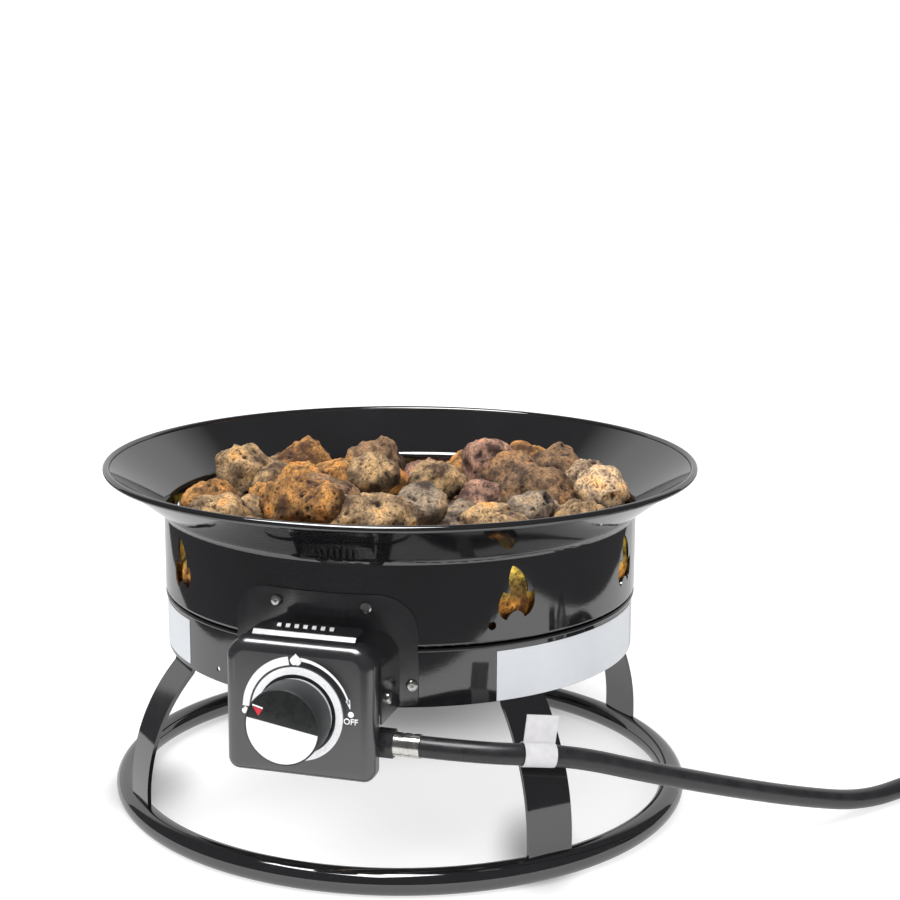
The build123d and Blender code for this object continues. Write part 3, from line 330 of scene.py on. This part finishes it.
for node, look in {
        "bowl": enamel, "support_band": enamel, "base_ring": enamel, "leg_front_left": enamel,
        "leg_front_right": enamel, "leg_back_left": enamel, "leg_back_right": enamel,
        "control_panel": box_paint, "valve_bracket": bracket_paint, "bowl_screws": screw_plate,
        "bracket_screws": screw_plate, "panel_screws": screw_plate, "fire_pan": pan_paint,
        "burner_ring": burner_steel, "burner_locknut": zinc, "mixer_tube": zinc, "valve_body": brass,
        "valve_cover": zinc, "valve_nut": zinc, "valve_plug": brass, "valve_stem": zinc,
        "return_spring": spring_wire, "gas_jet": brass, "inlet_elbow": brass, "dial_bezel": bezel_plate,
        "control_knob": knob_plastic, "knob_face": print_white, "hose_nut": nut_black,
        "hose_ferrule": ferrule_plate, "hose_tag": tag_film, "hose_tie": tie_strap,
        "regulator_ferrule": ferrule_plate, "regulator_body": cast_grey, "regulator_bonnet": cast_grey,
        "vent_cap": cap_plastic, "inlet_nipple": brass, "nipple_seal": hose_rubber,
        "coupling_nut": cap_plastic, "lava_rocks": pan_paint}.items():
    nodes[node].data.materials.clear()
    nodes[node].data.materials.append(look)


# Studio: laid out by the camera's own right and forward ways
def view_camera():
    bpy.ops.object.camera_add(location=VIEW_PLACE, rotation=(radians(90 - VIEW_DIP), 0, VIEW_TURN))
    camera = bpy.context.object
    camera.data.sensor_width = 36
    camera.data.lens = 72.344
    camera.data.shift_x = 0.0555
    bpy.context.scene.camera = camera
    bpy.context.scene.view_settings.view_transform = "Standard"


def paper(name, tint):
    material = bpy.data.materials.new(name)
    material.use_nodes = True
    shader = material.node_tree.nodes["Principled BSDF"]
    shader.inputs["Base Color"].default_value = (tint, tint, tint, 1)
    shader.inputs["Roughness"].default_value = 0.9
    shader.inputs["Specular IOR Level"].default_value = 0.0
    shader.inputs["Emission Color"].default_value = (1, 1, 1, 1)
    return material, shader


def sheet(name, size, place, tilt, material):
    pick_none()
    bpy.ops.mesh.primitive_plane_add(size=1)
    board = bpy.context.object
    board.name = name
    board.scale = (*size, 1)
    board.rotation_euler = (tilt, 0, VIEW_TURN)
    board.location = ALONG_VIEW @ Vector(place)
    board.data.materials.append(material)
    return board


def glow_with_painted_shadows(tree, glow):
    """The floor's glow, faded in spots behind the box and beside the front legs: painted shadow, which lets
    the floor's own shading show darker there.
    """
    where = tree.nodes.new("ShaderNodeTexCoord")
    for across, forward, wide, deep, left in FLOOR_PAINTED_SHADOWS:
        spot = tree.nodes.new("ShaderNodeMapping")
        spot.vector_type = "TEXTURE"
        spot.inputs["Location"].default_value = (across / FLOOR_WIDE, (forward - FLOOR_MIDDLE) / FLOOR_DEEP, 0)
        spot.inputs["Scale"].default_value = (wide / FLOOR_WIDE, deep / FLOOR_DEEP, 1)
        tree.links.new(where.outputs["Object"], spot.inputs["Vector"])
        away = tree.nodes.new("ShaderNodeVectorMath")
        away.operation = "LENGTH"
        tree.links.new(spot.outputs["Vector"], away.inputs[0])
        share = range_node(tree, away.outputs["Value"], left, 1.0, 0.15, 1.0)
        share.interpolation_type = "SMOOTHSTEP"
        product = tree.nodes.new("ShaderNodeMath")
        product.operation = "MULTIPLY"
        tree.links.new(glow, product.inputs[0])
        tree.links.new(share.outputs["Result"], product.inputs[1])
        glow = product.outputs[0]
    return glow


def pale_floor():
    tint = 0.9
    pale, shader = paper("pale_floor", tint)
    tree = pale.node_tree
    path = tree.nodes.new("ShaderNodeLightPath")
    glow = range_node(tree, path.outputs["Is Camera Ray"], 0.0, FLOOR_GLOW, 0.0, 1.0)
    # The glow fades in the painted shadow spots
    tree.links.new(glow_with_painted_shadows(tree, glow.outputs["Result"]), shader.inputs["Emission Strength"])
    tints = ramp_node(tree, path.outputs["Is Camera Ray"], [(0.0, (tint,) * 3), (1.0, (FLOOR_TINT,) * 3)])
    tree.links.new(tints.outputs["Color"], shader.inputs["Base Color"])
    floor = sheet("floor", (FLOOR_WIDE, FLOOR_DEEP), (0, FLOOR_MIDDLE, -0.0005), 0, pale)
    floor.visible_glossy = False


def mirrored_boards():
    """What the gloss paint mirrors: a white sheet on the floor and a wall behind it that fades upwards."""
    white, shader = paper("mirrored_sheet", 0.25)
    shader.inputs["Emission Strength"].default_value = SHEET_GLOW
    fading, shader = paper("fading_wall", 0.0)
    tree = fading.node_tree
    place = tree.nodes.new("ShaderNodeTexCoord")
    split = tree.nodes.new("ShaderNodeSeparateXYZ")
    tree.links.new(place.outputs["Object"], split.inputs[0])
    fade = range_node(tree, split.outputs["Y"], 0.74, 0.10, 0.06, 0.47)
    tree.links.new(fade.outputs["Result"], shader.inputs["Emission Strength"])
    for board in (sheet("floor_sheet", (1.45, 2.845), (0.065, 0.7775, -0.0003), 0, white),
                  sheet("back_wall", (6.0, 3.4), (0.0, 2.2, 1.7), pi / 2, fading)):
        board.visible_camera = False
        board.visible_diffuse = False
        board.visible_shadow = False
        board.visible_transmission = False


def room_light():
    """The world: pale all round for the stones, dark for the gloss paint and white behind the floor."""
    world = bpy.data.worlds.new("studio")
    bpy.context.scene.world = world
    world.use_nodes = True
    tree = world.node_tree
    tree.nodes.clear()
    out = tree.nodes.new("ShaderNodeOutputWorld")
    path = tree.nodes.new("ShaderNodeLightPath")
    place = tree.nodes.new("ShaderNodeTexCoord")
    split = tree.nodes.new("ShaderNodeSeparateXYZ")
    tree.links.new(place.outputs["Generated"], split.inputs[0])
    high = range_node(tree, split.outputs["Z"], 0, 1, 0.25, 0.75)
    room = ramp_node(tree, high.outputs["Result"], [(0.0, (1.0, 1.0, 1.0)), (1.0, (0.36, 0.36, 0.37))])

    def background(colour, strength):
        shade = tree.nodes.new("ShaderNodeBackground")
        shade.inputs["Color"].default_value = colour
        shade.inputs["Strength"].default_value = strength
        return shade

    def parted(ray, others, those):
        mix = tree.nodes.new("ShaderNodeMixShader")
        tree.links.new(path.outputs[ray], mix.inputs[0])
        tree.links.new(others.outputs[0], mix.inputs[1])
        tree.links.new(those.outputs[0], mix.inputs[2])
        return mix

    fill = background((1, 1, 1, 1), ROOM_FILL)
    tree.links.new(room.outputs["Color"], fill.inputs["Color"])
    for_gloss = parted("Is Glossy Ray", fill, background((0.10, 0.10, 0.105, 1), 1.0))
    for_camera = parted("Is Camera Ray", for_gloss, background((1, 1, 1, 1), 1.0))
    tree.links.new(for_camera.outputs[0], out.inputs["Surface"])


def lamp(name, size, place, aim, power, mirrored):
    """A soft lamp that either lights the part or is only mirrored in its gloss."""
    pick_none()
    bpy.ops.object.light_add(type="AREA", location=ALONG_VIEW @ Vector(place))
    light = bpy.context.object
    light.name = name
    light.data.shape = "RECTANGLE"
    light.data.size, light.data.size_y = size
    light.data.energy = power
    way = ALONG_VIEW @ (Vector(aim) - Vector(place))
    light.rotation_euler = way.to_track_quat("-Z", "Y").to_euler()
    light.visible_camera = False
    light.visible_glossy = mirrored
    light.visible_diffuse = not mirrored


def lamps():
    pick_none()
    bpy.ops.object.light_add(type="SUN", location=(0, 0, 2), rotation=(radians(14), radians(-12), 0))
    sky = bpy.context.object
    sky.name = "overhead_light"
    sky.data.energy = 2.2
    sky.data.angle = radians(60)
    sky.visible_glossy = False
    sky.visible_camera = False
    lamp("left_softbox", (1.0, 1.0), (-1.2, -1.3, 1.2), aim=(0, 0, 0.2), power=9, mirrored=False)
    lamp("right_softbox", (1.0, 1.0), (1.3, -1.4, 1.0), aim=(0, 0, 0.2), power=12, mirrored=False)
    lamp("overhead_strip", (1.1, 0.7), (-0.30, -0.42, 1.45), aim=(-0.05, -0.2, 0.2), power=28, mirrored=True)


view_camera()
pale_floor()
mirrored_boards()
room_light()
lamps()


# Strap: a loop drawn tight round the four strands of the coil where they pass it
def coil_strap():
    inner, fire_glow_face, low, high = 0.0658, 0.0996, 0.0012, 0.0340
    wide, corner, thick, turn = 0.016, 0.0066, 0.0012, radians(250)
    pick_none()
    bpy.ops.mesh.primitive_cube_add(size=1, location=((inner + fire_glow_face) / 2, 0, (low + high) / 2))
    bpy.context.object.scale = (fire_glow_face - inner, wide, high - low)
    strap = named("coil_strap")
    in_edit(strap, lambda f: abs(f.normal.y) > 0.9)
    bpy.ops.mesh.delete(type="FACE")
    leave_edit()
    in_edit(strap, lambda e: abs(e.verts[0].co.y - e.verts[1].co.y) > wide / 2, "edges")
    bpy.ops.mesh.bevel(offset=corner, segments=6, affect="EDGES")
    leave_edit()
    modify(strap, "SOLIDIFY", thickness=thick, offset=1.0)
    modify(strap, "BEVEL", width=thick / 4, segments=2, limit_method="ANGLE", angle_limit=radians(40))
    strap.rotation_euler = (0, 0, turn)
    strap.location = (COIL_X, COIL_Y, 0)
    place_applied(strap)
    smooth(strap, 40)
    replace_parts(dressed(strap, tie_strap, "stand"), "hose_tie")


coil_strap()


# Hose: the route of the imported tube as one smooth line, with its tied coil
def hose():
    coil_radius, pitch, layer, low, ease = 0.103, 0.017, 0.0168, 0.0091, 0.25
    start = 141.0
    turns = 4 + start / 360
    points_a_turn = 28
    lead, tail, step = 0.060, 0.040, 0.0001

    def coil_place(n):
        away = abs(n - turns / 2)
        drawn = turns / 2 - away
        climb = 0.0 if n < turns / 2 else 1.0
        if away < ease:
            drawn = turns / 2 - ease / 2 - away**2 / (2 * ease)
            climb = (1 - cos(pi * (n - turns / 2 + ease) / (2 * ease))) / 2
        radius = coil_radius - pitch * drawn
        turn = radians(start) - 2 * pi * n
        return Vector((COIL_X + radius * cos(turn), COIL_Y + radius * sin(turn), low + layer * climb))

    leave = (coil_place(step) - coil_place(-step)).normalized()
    reach = (coil_place(turns + step) - coil_place(turns - step)).normalized()
    landing = coil_place(0) - leave * HOSE_THICK
    points = [Vector(p) for p in (
        (0.084, -0.215, 0.1145), (0.132, -0.215, 0.1145), (0.184, -0.183, 0.108), (0.237, -0.136, 0.083),
        (0.287, -0.078, 0.056), (0.335, -0.017, 0.030), (0.381, 0.042, 0.009))]
    points += [landing - leave * lead, landing]
    steps = round(turns * points_a_turn)
    points += [coil_place(turns * k / steps) for k in range(steps + 1)]
    points += [coil_place(turns) + reach * HOSE_THICK, coil_place(turns) + reach * (HOSE_THICK + tail)]
    line = bpy.data.curves.new("gas_hose", "CURVE")
    line.dimensions = "3D"
    spline = line.splines.new("NURBS")
    spline.points.add(len(points) - 1)
    for spot, point in zip(spline.points, points):
        spot.co = (*point, 1)
    spline.order_u = 3
    spline.use_endpoint_u = True
    spline.resolution_u = 8
    line.bevel_depth = HOSE_THICK / 2
    line.bevel_resolution = 6
    line.use_fill_caps = True
    piece = bpy.data.objects.new("gas_hose", line)
    bpy.context.scene.collection.objects.link(piece)
    dressed(piece, hose_rubber, "stand")
    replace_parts(piece, "hose_run", "hose_coil", "hose_tail")


hose()


# Stones: those whose tops stand higher than this are seen over the rim
SEEN_ABOVE = 0.236
# Loose stones that close gaps in the heap: middle, and turn about the upright
FILL_STONES = (
    (-0.116, 0.090, 0.238, 0.4), (-0.056, 0.106, 0.240, 1.9), (0.046, 0.116, 0.247, 2.8),
    (0.106, 0.112, 0.247, 0.9), (0.160, 0.036, 0.252, 2.2), (-0.122, 0.032, 0.240, 1.2),
    (0.078, 0.076, 0.249, 0.2), (-0.088, 0.006, 0.244, 2.5),
)
TAN = (0.53, 0.35, 0.175)
OCHRE = (0.58, 0.28, 0.07)
UMBER = (0.31, 0.18, 0.09)
ASH = (0.37, 0.285, 0.205)
ROSE = (0.48, 0.27, 0.19)
PEACH = (0.70, 0.50, 0.31)
# Painted fire glow on stone faces behind the openings: yellow high up, orange lower down
FIRE_GLOW_YELLOW = (1.0, 0.70, 0.10)
FIRE_GLOW_ORANGE = (0.80, 0.36, 0.055)
# Tints by place across the bowl: how far right each group reaches, and what its stones take in turn
TINT_GROUPS = (
    (-0.10, (TAN, OCHRE, TAN)), (0.0, (TAN, OCHRE, UMBER)), (0.09, (ASH, TAN, ROSE)), (0.3, (UMBER, ASH, TAN)),
)
# Painted shade: the share of its tint that a stone's underside keeps
UNDERSIDE_SHADE_SHARE = 0.25


def loose_lumps():
    """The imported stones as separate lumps, with more that close the gaps between them."""
    copied("stone_heap", "lava_rocks")
    whole_in_edit()
    bpy.ops.mesh.remove_doubles(threshold=0.00002)
    bpy.ops.mesh.dissolve_limited(angle_limit=radians(2))
    bpy.ops.mesh.separate(type="LOOSE")
    leave_edit()
    lumps = sorted(bpy.context.selected_objects, key=lambda o: o.name)
    spare = [lump for lump in lumps if 0.036 < lump.dimensions.x < 0.045 and lump.dimensions.z > 0.026]
    for count, (x, y, z, turn) in enumerate(FILL_STONES):
        lump = spare[count % len(spare)].copy()
        lump.data = lump.data.copy()
        bpy.context.scene.collection.objects.link(lump)
        make_active(lump)
        bpy.ops.object.origin_set(type="ORIGIN_GEOMETRY", center="BOUNDS")
        lump.location = (x, y, z)
        lump.rotation_euler = (0, 0, turn)
        place_applied(lump)
        lumps.append(lump)
    return lumps


def stone_tint(count, middle, seen):
    if seen and middle.x > 0.13 and middle.y > 0.0:
        return PEACH
    if seen and middle.x > 0.07 and middle.y > 0.01:
        return UMBER
    if middle.y > 0.09:
        return (OCHRE, UMBER, ROSE)[count % 3]
    return next(tints for reach, tints in TINT_GROUPS if middle.x < reach)[count % 3]


def tint_points(lump, tint, seen):
    """Stores the tint of each point: painted fire glow in yellow and orange on the outer faces behind the
    openings, and painted shade on undersides, darker the less they face up.
    """
    shade = lump.data.attributes.new("stone_tint", "FLOAT_COLOR", "POINT")
    for spot, point in zip(shade.data, lump.data.vertices):
        away = point.co.xy.normalized().dot(point.normal.xy)
        # Painted fire glow: the outer faces of hidden stones behind the openings
        fire_glow_face = not seen and point.co.xy.length > 0.160 and point.co.z < 0.232 and away > 0.6
        if fire_glow_face:
            spot.color = (*(FIRE_GLOW_YELLOW if point.co.z > 0.206 else FIRE_GLOW_ORANGE), 1)
            continue
        # Painted shade: faces turned away from above keep less of their tint
        lit_share = UNDERSIDE_SHADE_SHARE + (1 - UNDERSIDE_SHADE_SHARE) * (point.normal.z + 0.45)
        lit_share = min(1.0, max(UNDERSIDE_SHADE_SHARE, lit_share))
        spot.color = (*(lit_share * part for part in tint), 1)


def stone_textures():
    """Relief that wears the stones, then pits sunk into them: texture, strength and its level of rest."""
    swell = bpy.data.textures.new("stone_swell", "CLOUDS")
    swell.noise_scale = 0.026
    swell.noise_depth = 2
    crags = bpy.data.textures.new("stone_crags", "MUSGRAVE")
    crags.musgrave_type = "RIDGED_MULTIFRACTAL"
    crags.noise_scale = 0.015
    crags.octaves = 3
    crumb = bpy.data.textures.new("stone_crumb", "CLOUDS")
    crumb.noise_scale = 0.0048
    crumb.noise_depth = 2

    def pits(name, size, edge):
        holes = bpy.data.textures.new(name, "VORONOI")
        holes.noise_scale = size
        holes.use_color_ramp = True
        stops = holes.color_ramp.elements
        stops[0].position, stops[0].color = edge / 3, (1, 1, 1, 1)
        stops[1].position, stops[1].color = edge, (0, 0, 0, 1)
        return holes

    relief = ((swell, 0.008, 0.5), (crags, 0.0020, 0.5), (crumb, 0.0024, 0.5))
    sunk = ((pits("small_pits", 0.0058, 0.30), -0.0016, 0.0), (pits("large_pits", 0.013, 0.22), -0.0022, 0.0))
    return relief, sunk


def worn(name, lumps, divide, relief, sunk):
    pit_depth = 0.0016
    piece = joined(name, lumps)
    if divide:
        modify(piece, "SUBSURF", levels=1, render_levels=1)
    for texture, strength, rest in relief:
        modify(piece, "DISPLACE", texture=texture, strength=strength, mid_level=rest, texture_coords="LOCAL")
    before = [v.co.copy() for v in piece.data.vertices]
    for texture, strength, rest in sunk:
        modify(piece, "DISPLACE", texture=texture, strength=strength, mid_level=rest, texture_coords="LOCAL")
    # How deep each point sank into a pit, which the stone finish turns into painted shade
    depth = piece.data.attributes.new("stone_pore", "FLOAT", "POINT")
    for spot, old, point in zip(depth.data, before, piece.data.vertices):
        spot.value = min(1.0, (point.co - old).length / pit_depth)
    # No stone reaches through the drum wall
    for point in piece.data.vertices:
        reach = point.co.xy.length
        if reach > WALL_IN and point.co.z < CREASE:
            point.co.xy *= WALL_IN / reach
    smooth(piece, 60)
    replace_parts(dressed(piece, lava_stone, "stand"), "lava_rocks")


def stones():
    high, low = [], []
    for count, lump in enumerate(loose_lumps()):
        corners = [v.co for v in lump.data.vertices]
        middle = sum(corners, Vector()) / len(corners)
        seen = max(c.z for c in corners) > SEEN_ABOVE
        tint = stone_tint(count, middle, seen)
        modify(lump, "REMESH", mode="VOXEL", voxel_size=0.0032 if seen else 0.0048)
        modify(lump, "SMOOTH", factor=0.5, iterations=3)
        modify(lump, "DISPLACE", strength=0.0055 if seen else 0.0100, mid_level=0.0)
        tint_points(lump, tint, seen)
        (high if seen else low).append(lump)
    half = len(high) // 2
    relief, sunk = stone_textures()
    worn("stones_top_a", high[:half], True, relief, sunk)
    worn("stones_top_b", high[half:], True, relief, sunk)
    worn("stones_base", low, False, relief, sunk)


stones()


# Labels on the band: a thin upright strip spun round the axis
def band_label(name, start, end, low, high):
    thick, clearance = 0.0003, 0.00004
    pick_none()
    turn = radians(start - 90)
    reach = BAND + thick / 2 + clearance
    bpy.ops.mesh.primitive_plane_add(size=1, rotation=(pi / 2, 0, turn),
                                     location=(reach * cos(turn), reach * sin(turn), (low + high) / 2))
    bpy.context.object.scale = (thick, high - low, 1)
    piece = named(name)
    whole_in_edit()
    bpy.ops.mesh.spin(steps=40, angle=-radians(end - start), center=(0, 0, 0), axis=(0, 0, 1))
    bpy.ops.mesh.select_all(action="SELECT")
    bpy.ops.mesh.remove_doubles(threshold=0.000001)
    bpy.ops.mesh.normals_make_consistent(inside=False)
    leave_edit()
    smooth(piece, 30)
    return dressed(piece, label_film, "stand")


band_label("label_right", 39.4, 92, 0.1303, 0.1686)
band_label("label_left", -95, -41.2, 0.1335, 0.1690)


# Print: flat marks with a little thickness
def printed(mark, ink, body):
    whole_in_edit()
    bpy.ops.mesh.extrude_region_move(TRANSFORM_OT_translate={"value": (0, PRINT_THICK, 0)})
    bpy.ops.mesh.select_all(action="SELECT")
    bpy.ops.mesh.normals_make_consistent(inside=False)
    leave_edit()
    return dressed(mark, ink, body)


# Dial marks: ink on the panel round the knob
INK_OUT = PANEL_FRONT - 0.00012


def inked(name):
    """Turns a flat mark drawn in x and y into ink on the panel."""
    mark = named(name)
    for point in mark.data.vertices:
        point.co = (point.co.x, INK_OUT, point.co.y)
    return printed(mark, dial_ink, "stand")


def dial_arc(name, start, end, wide_start, wide_end, radius):
    pick_none()
    bpy.ops.mesh.primitive_grid_add(x_subdivisions=44, y_subdivisions=1, size=2)
    for point in bpy.context.object.data.vertices:
        along = (point.co.x + 1) / 2
        turn = radians(start + (end - start) * along)
        reach = radius + point.co.y / 2 * (wide_start + (wide_end - wide_start) * along)
        point.co = (DIAL_X + reach * cos(turn), DIAL_Z + reach * sin(turn), 0)
    return inked(name)


def dial_flame(name, turn, radius, wide, tall):
    """A plain flame mark: a drop with a notch at its foot."""
    pick_none()
    bpy.ops.mesh.primitive_circle_add(vertices=32, radius=1, fill_type="NGON")
    for point in bpy.context.object.data.vertices:
        across, up = point.co.x, point.co.y
        lean = across * (1 - 0.62 * max(0.0, up)) * (1 if up < 0 else 1 - up**3)
        foot = 0.28 * (1 - abs(across)) ** 2 if up < 0 else 0
        point.co = (DIAL_X + radius * cos(radians(turn)) + lean * wide / 2,
                    DIAL_Z + radius * sin(radians(turn)) + (up + foot) * tall / 2, 0)
    return inked(name)


def dial_marks():
    dial_arc("dial_low_to_high", 177, 99, 0.0050, 0.0062, 0.0391)
    dial_arc("dial_high_to_off", 86, 16, 0.0026, 0.0012, 0.0405)
    dial_arc("dial_arrow", 20, 10.5, 0.0034, 0.0002, 0.0405)
    dial_flame("dial_low_flame", 181.8, 0.0394, 0.0058, 0.0064)
    dial_flame("dial_high_flame", 91.0, 0.0398, 0.0084, 0.0096)
    pick_none()
    bpy.ops.mesh.primitive_circle_add(vertices=28, radius=0.0022, fill_type="NGON",
                                      location=(DIAL_X + 0.0404, DIAL_Z + 0.0035, 0))
    inked("dial_off_dot")
    pick_none()
    bpy.ops.object.text_add(location=(DIAL_X + 0.0402, DIAL_Z - 0.0020, 0))
    word = bpy.context.object
    word.data.body = "OFF"
    word.data.size = 0.0061
    word.data.align_x = "CENTER"
    word.data.align_y = "CENTER"
    word.data.offset = 0.00012
    make_active(word)
    bpy.ops.object.convert(target="MESH")
    inked("dial_off_word")


dial_marks()


# Knob face: a round plate parted into a dark and a pale field, with a pointer
def knob_plate():
    thick, edge, parting, slack = 0.0012, 0.0004, 0.0007, 0.0001
    pick_none()
    bpy.ops.mesh.primitive_cylinder_add(vertices=96, radius=CAP_R, depth=thick, end_fill_type="NGON",
                                        location=(DIAL_X, KNOB_FRONT + thick / 2, DIAL_Z),
                                        rotation=(pi / 2, 0, 0))
    plate = named("knob_plate")
    across = Vector((0.0508, 0, -0.0083)).normalized()
    up = Vector((-across.z, 0, across.x))
    middle = Vector((DIAL_X + 0.0013, 0, DIAL_Z + 0.0003))
    bpy.ops.object.mode_set(mode="EDIT")
    for lift in (0.0, parting):
        bpy.ops.mesh.select_all(action="SELECT")
        bpy.ops.mesh.bisect(plane_co=middle + up * lift, plane_no=up)
    leave_edit()

    def front_edge(e):
        out = all((v.co - Vector((DIAL_X, v.co.y, DIAL_Z))).length > CAP_R - slack for v in e.verts)
        return out and all(v.co.y < KNOB_FRONT + thick / 2 for v in e.verts)

    in_edit(plate, front_edge, "edges")
    bpy.ops.mesh.bevel(offset=edge, segments=2, affect="EDGES")
    leave_edit()
    smooth(plate, 40)
    dressed(plate, print_white, "knob")
    plate.data.materials.append(print_black_and_gap_shade)
    for face in plate.data.polygons:
        if (face.center - middle).dot(up) > parting - slack:
            face.material_index = 1
    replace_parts(plate, "knob_face")


def knob_mark(name, ink, corners):
    """A flat printed mark on the knob plate, given by its corners from the knob's axis."""
    proud = 0.00010
    pick_none()
    bpy.ops.mesh.primitive_circle_add(vertices=len(corners), radius=CAP_R, fill_type="NGON")
    for point, (across, up) in zip(bpy.context.object.data.vertices, corners):
        point.co = (DIAL_X + across, KNOB_FRONT - proud, DIAL_Z + up)
    return printed(named(name), ink, "knob")


knob_plate()
knob_mark("knob_pointer_bar", print_white,
          ((-0.0214, 0.0154), (-0.0217, 0.0143), (-0.0140, 0.0123), (-0.0137, 0.0134)))
knob_mark("knob_pointer_tip", print_red, ((-0.0215, 0.0138), (-0.0173, 0.0072), (-0.0141, 0.0118)))


# Painted shade: a dark ring where the knob meets its bezel, standing for the shadow in the gap between them
def knob_gap():
    pick_none()
    bezel_front = min(v.co.y for v in nodes["dial_bezel"].data.vertices)
    bpy.ops.mesh.primitive_torus_add(major_segments=96, minor_segments=10, major_radius=0.0281,
                                     minor_radius=0.0014, location=(DIAL_X, bezel_front, DIAL_Z),
                                     rotation=(pi / 2, 0, 0))
    bpy.context.object.scale = (1, 1, 0.2)
    shade_ring = named("knob_gap")
    smooth(shade_ring, 60)
    dressed(shade_ring, print_black_and_gap_shade, "stand")


knob_gap()


# Vents: a small turned-up lip at the front of each slot in the panel's tongue
def vent_lips():
    deck = max(v.co.z for v in nodes["control_panel"].data.vertices)
    wide, tall, front = 0.0032, 0.0022, -0.2176
    pitch, centre, count = 0.0067, -0.0025, 7
    slope = 0.96 * tall
    lips = []
    for k in range(count):
        across = centre + pitch * (k - (count - 1) / 2)
        pick_none()
        bpy.ops.mesh.primitive_cube_add(size=1, location=(across, front, deck + tall / 2))
        bpy.context.object.scale = (wide, tall, tall)
        lip = named("vent_lip")
        in_edit(lip, lambda e: all(v.co.z > deck + tall / 2 and v.co.y < front for v in e.verts), "edges")
        bpy.ops.mesh.bevel(offset=slope, segments=1, affect="EDGES")
        leave_edit()
        lips.append(lip)
    dressed(joined("vent_lips", lips), box_paint, "stand")


vent_lips()


# Screws: a domed head with a cross recess, on its shank
def screw(name, place, out, shank, turn):
    radius, tall, dome, shoulder = 0.0044, 0.0026, 0.0015, 0.0022
    slot_long, slot_wide, slot_deep, taper = 0.0046, 0.00095, 0.0032, 0.45
    pick_none()
    bpy.ops.mesh.primitive_cylinder_add(vertices=28, radius=radius, depth=tall, location=(0, 0, tall / 2))
    head = named(name)
    in_edit(head, lambda f: f.normal.z > 0.9)
    bpy.ops.mesh.bevel(offset=dome, segments=4, affect="EDGES")
    leave_edit()
    in_edit(head, lambda f: f.normal.z < -0.9)
    bpy.ops.mesh.inset(thickness=shoulder)
    bpy.ops.mesh.extrude_region_move(TRANSFORM_OT_translate={"value": (0, 0, -shank)})
    leave_edit()
    for quarter in (0, pi / 2):
        pick_none()
        bpy.ops.mesh.primitive_cube_add(size=1, location=(0, 0, tall), rotation=(0, 0, quarter + turn))
        bpy.context.object.scale = (slot_long, slot_wide, slot_deep)
        bar = named("recess_cutter")
        in_edit(bar, lambda f: f.calc_center_median().z < tall / 2)
        bpy.ops.transform.resize(value=(taper, taper, 1), center_override=(0, 0, tall - slot_deep / 2))
        leave_edit()
        modify(head, "BOOLEAN", operation="DIFFERENCE", object=bar, solver="EXACT")
        bpy.data.objects.remove(bar)
    head.matrix_world = Matrix.Translation(place) @ out.to_track_quat("Z", "Y").to_matrix().to_4x4()
    place_applied(head)
    return head


def screw_set(name, heads, node):
    piece = joined(name, heads)
    smooth(piece, 35)
    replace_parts(dressed(piece, screw_plate, "stand"), node)


def screws():
    clearance, level = 0.00002, 0.1477
    heads = []
    for count, (azimuth, reach, height) in enumerate(((10.21, 0.1945, 0.2065), (-10.21, 0.1945, 0.2065),
                                                      (20.04, 0.193, level), (-20.04, 0.193, level))):
        out = Vector((sin(radians(azimuth)), -cos(radians(azimuth)), 0))
        place = out * (reach + clearance) + Vector((0, 0, height))
        heads.append(screw("bracket_screw", place, out, 0.009, 0.5 + count))
    screw_set("bracket_screw_heads", heads, "bracket_screws")
    heads = []
    for side in (-1, 1):
        place = Vector((side * 0.0578, -0.213, level))
        heads.append(screw("panel_screw", place, Vector((side, 0, 0)), 0.006, 0.3 + side))
    screw_set("panel_screw_heads", heads, "panel_screws")


screws()


# Return spring: the imported coil, smoothed and carried with the valve plug, with a mesh of its own; the real
# spring shortens as the knob is pushed in
def spring():
    coil = copied("spring_coil", "return_spring")
    whole_in_edit()
    bpy.ops.mesh.remove_doubles(threshold=0.00001)
    leave_edit()
    smooth(coil, 40)
    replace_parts(dressed(coil, spring_wire, "valve_plug"), "return_spring")
    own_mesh(coil)


spring()
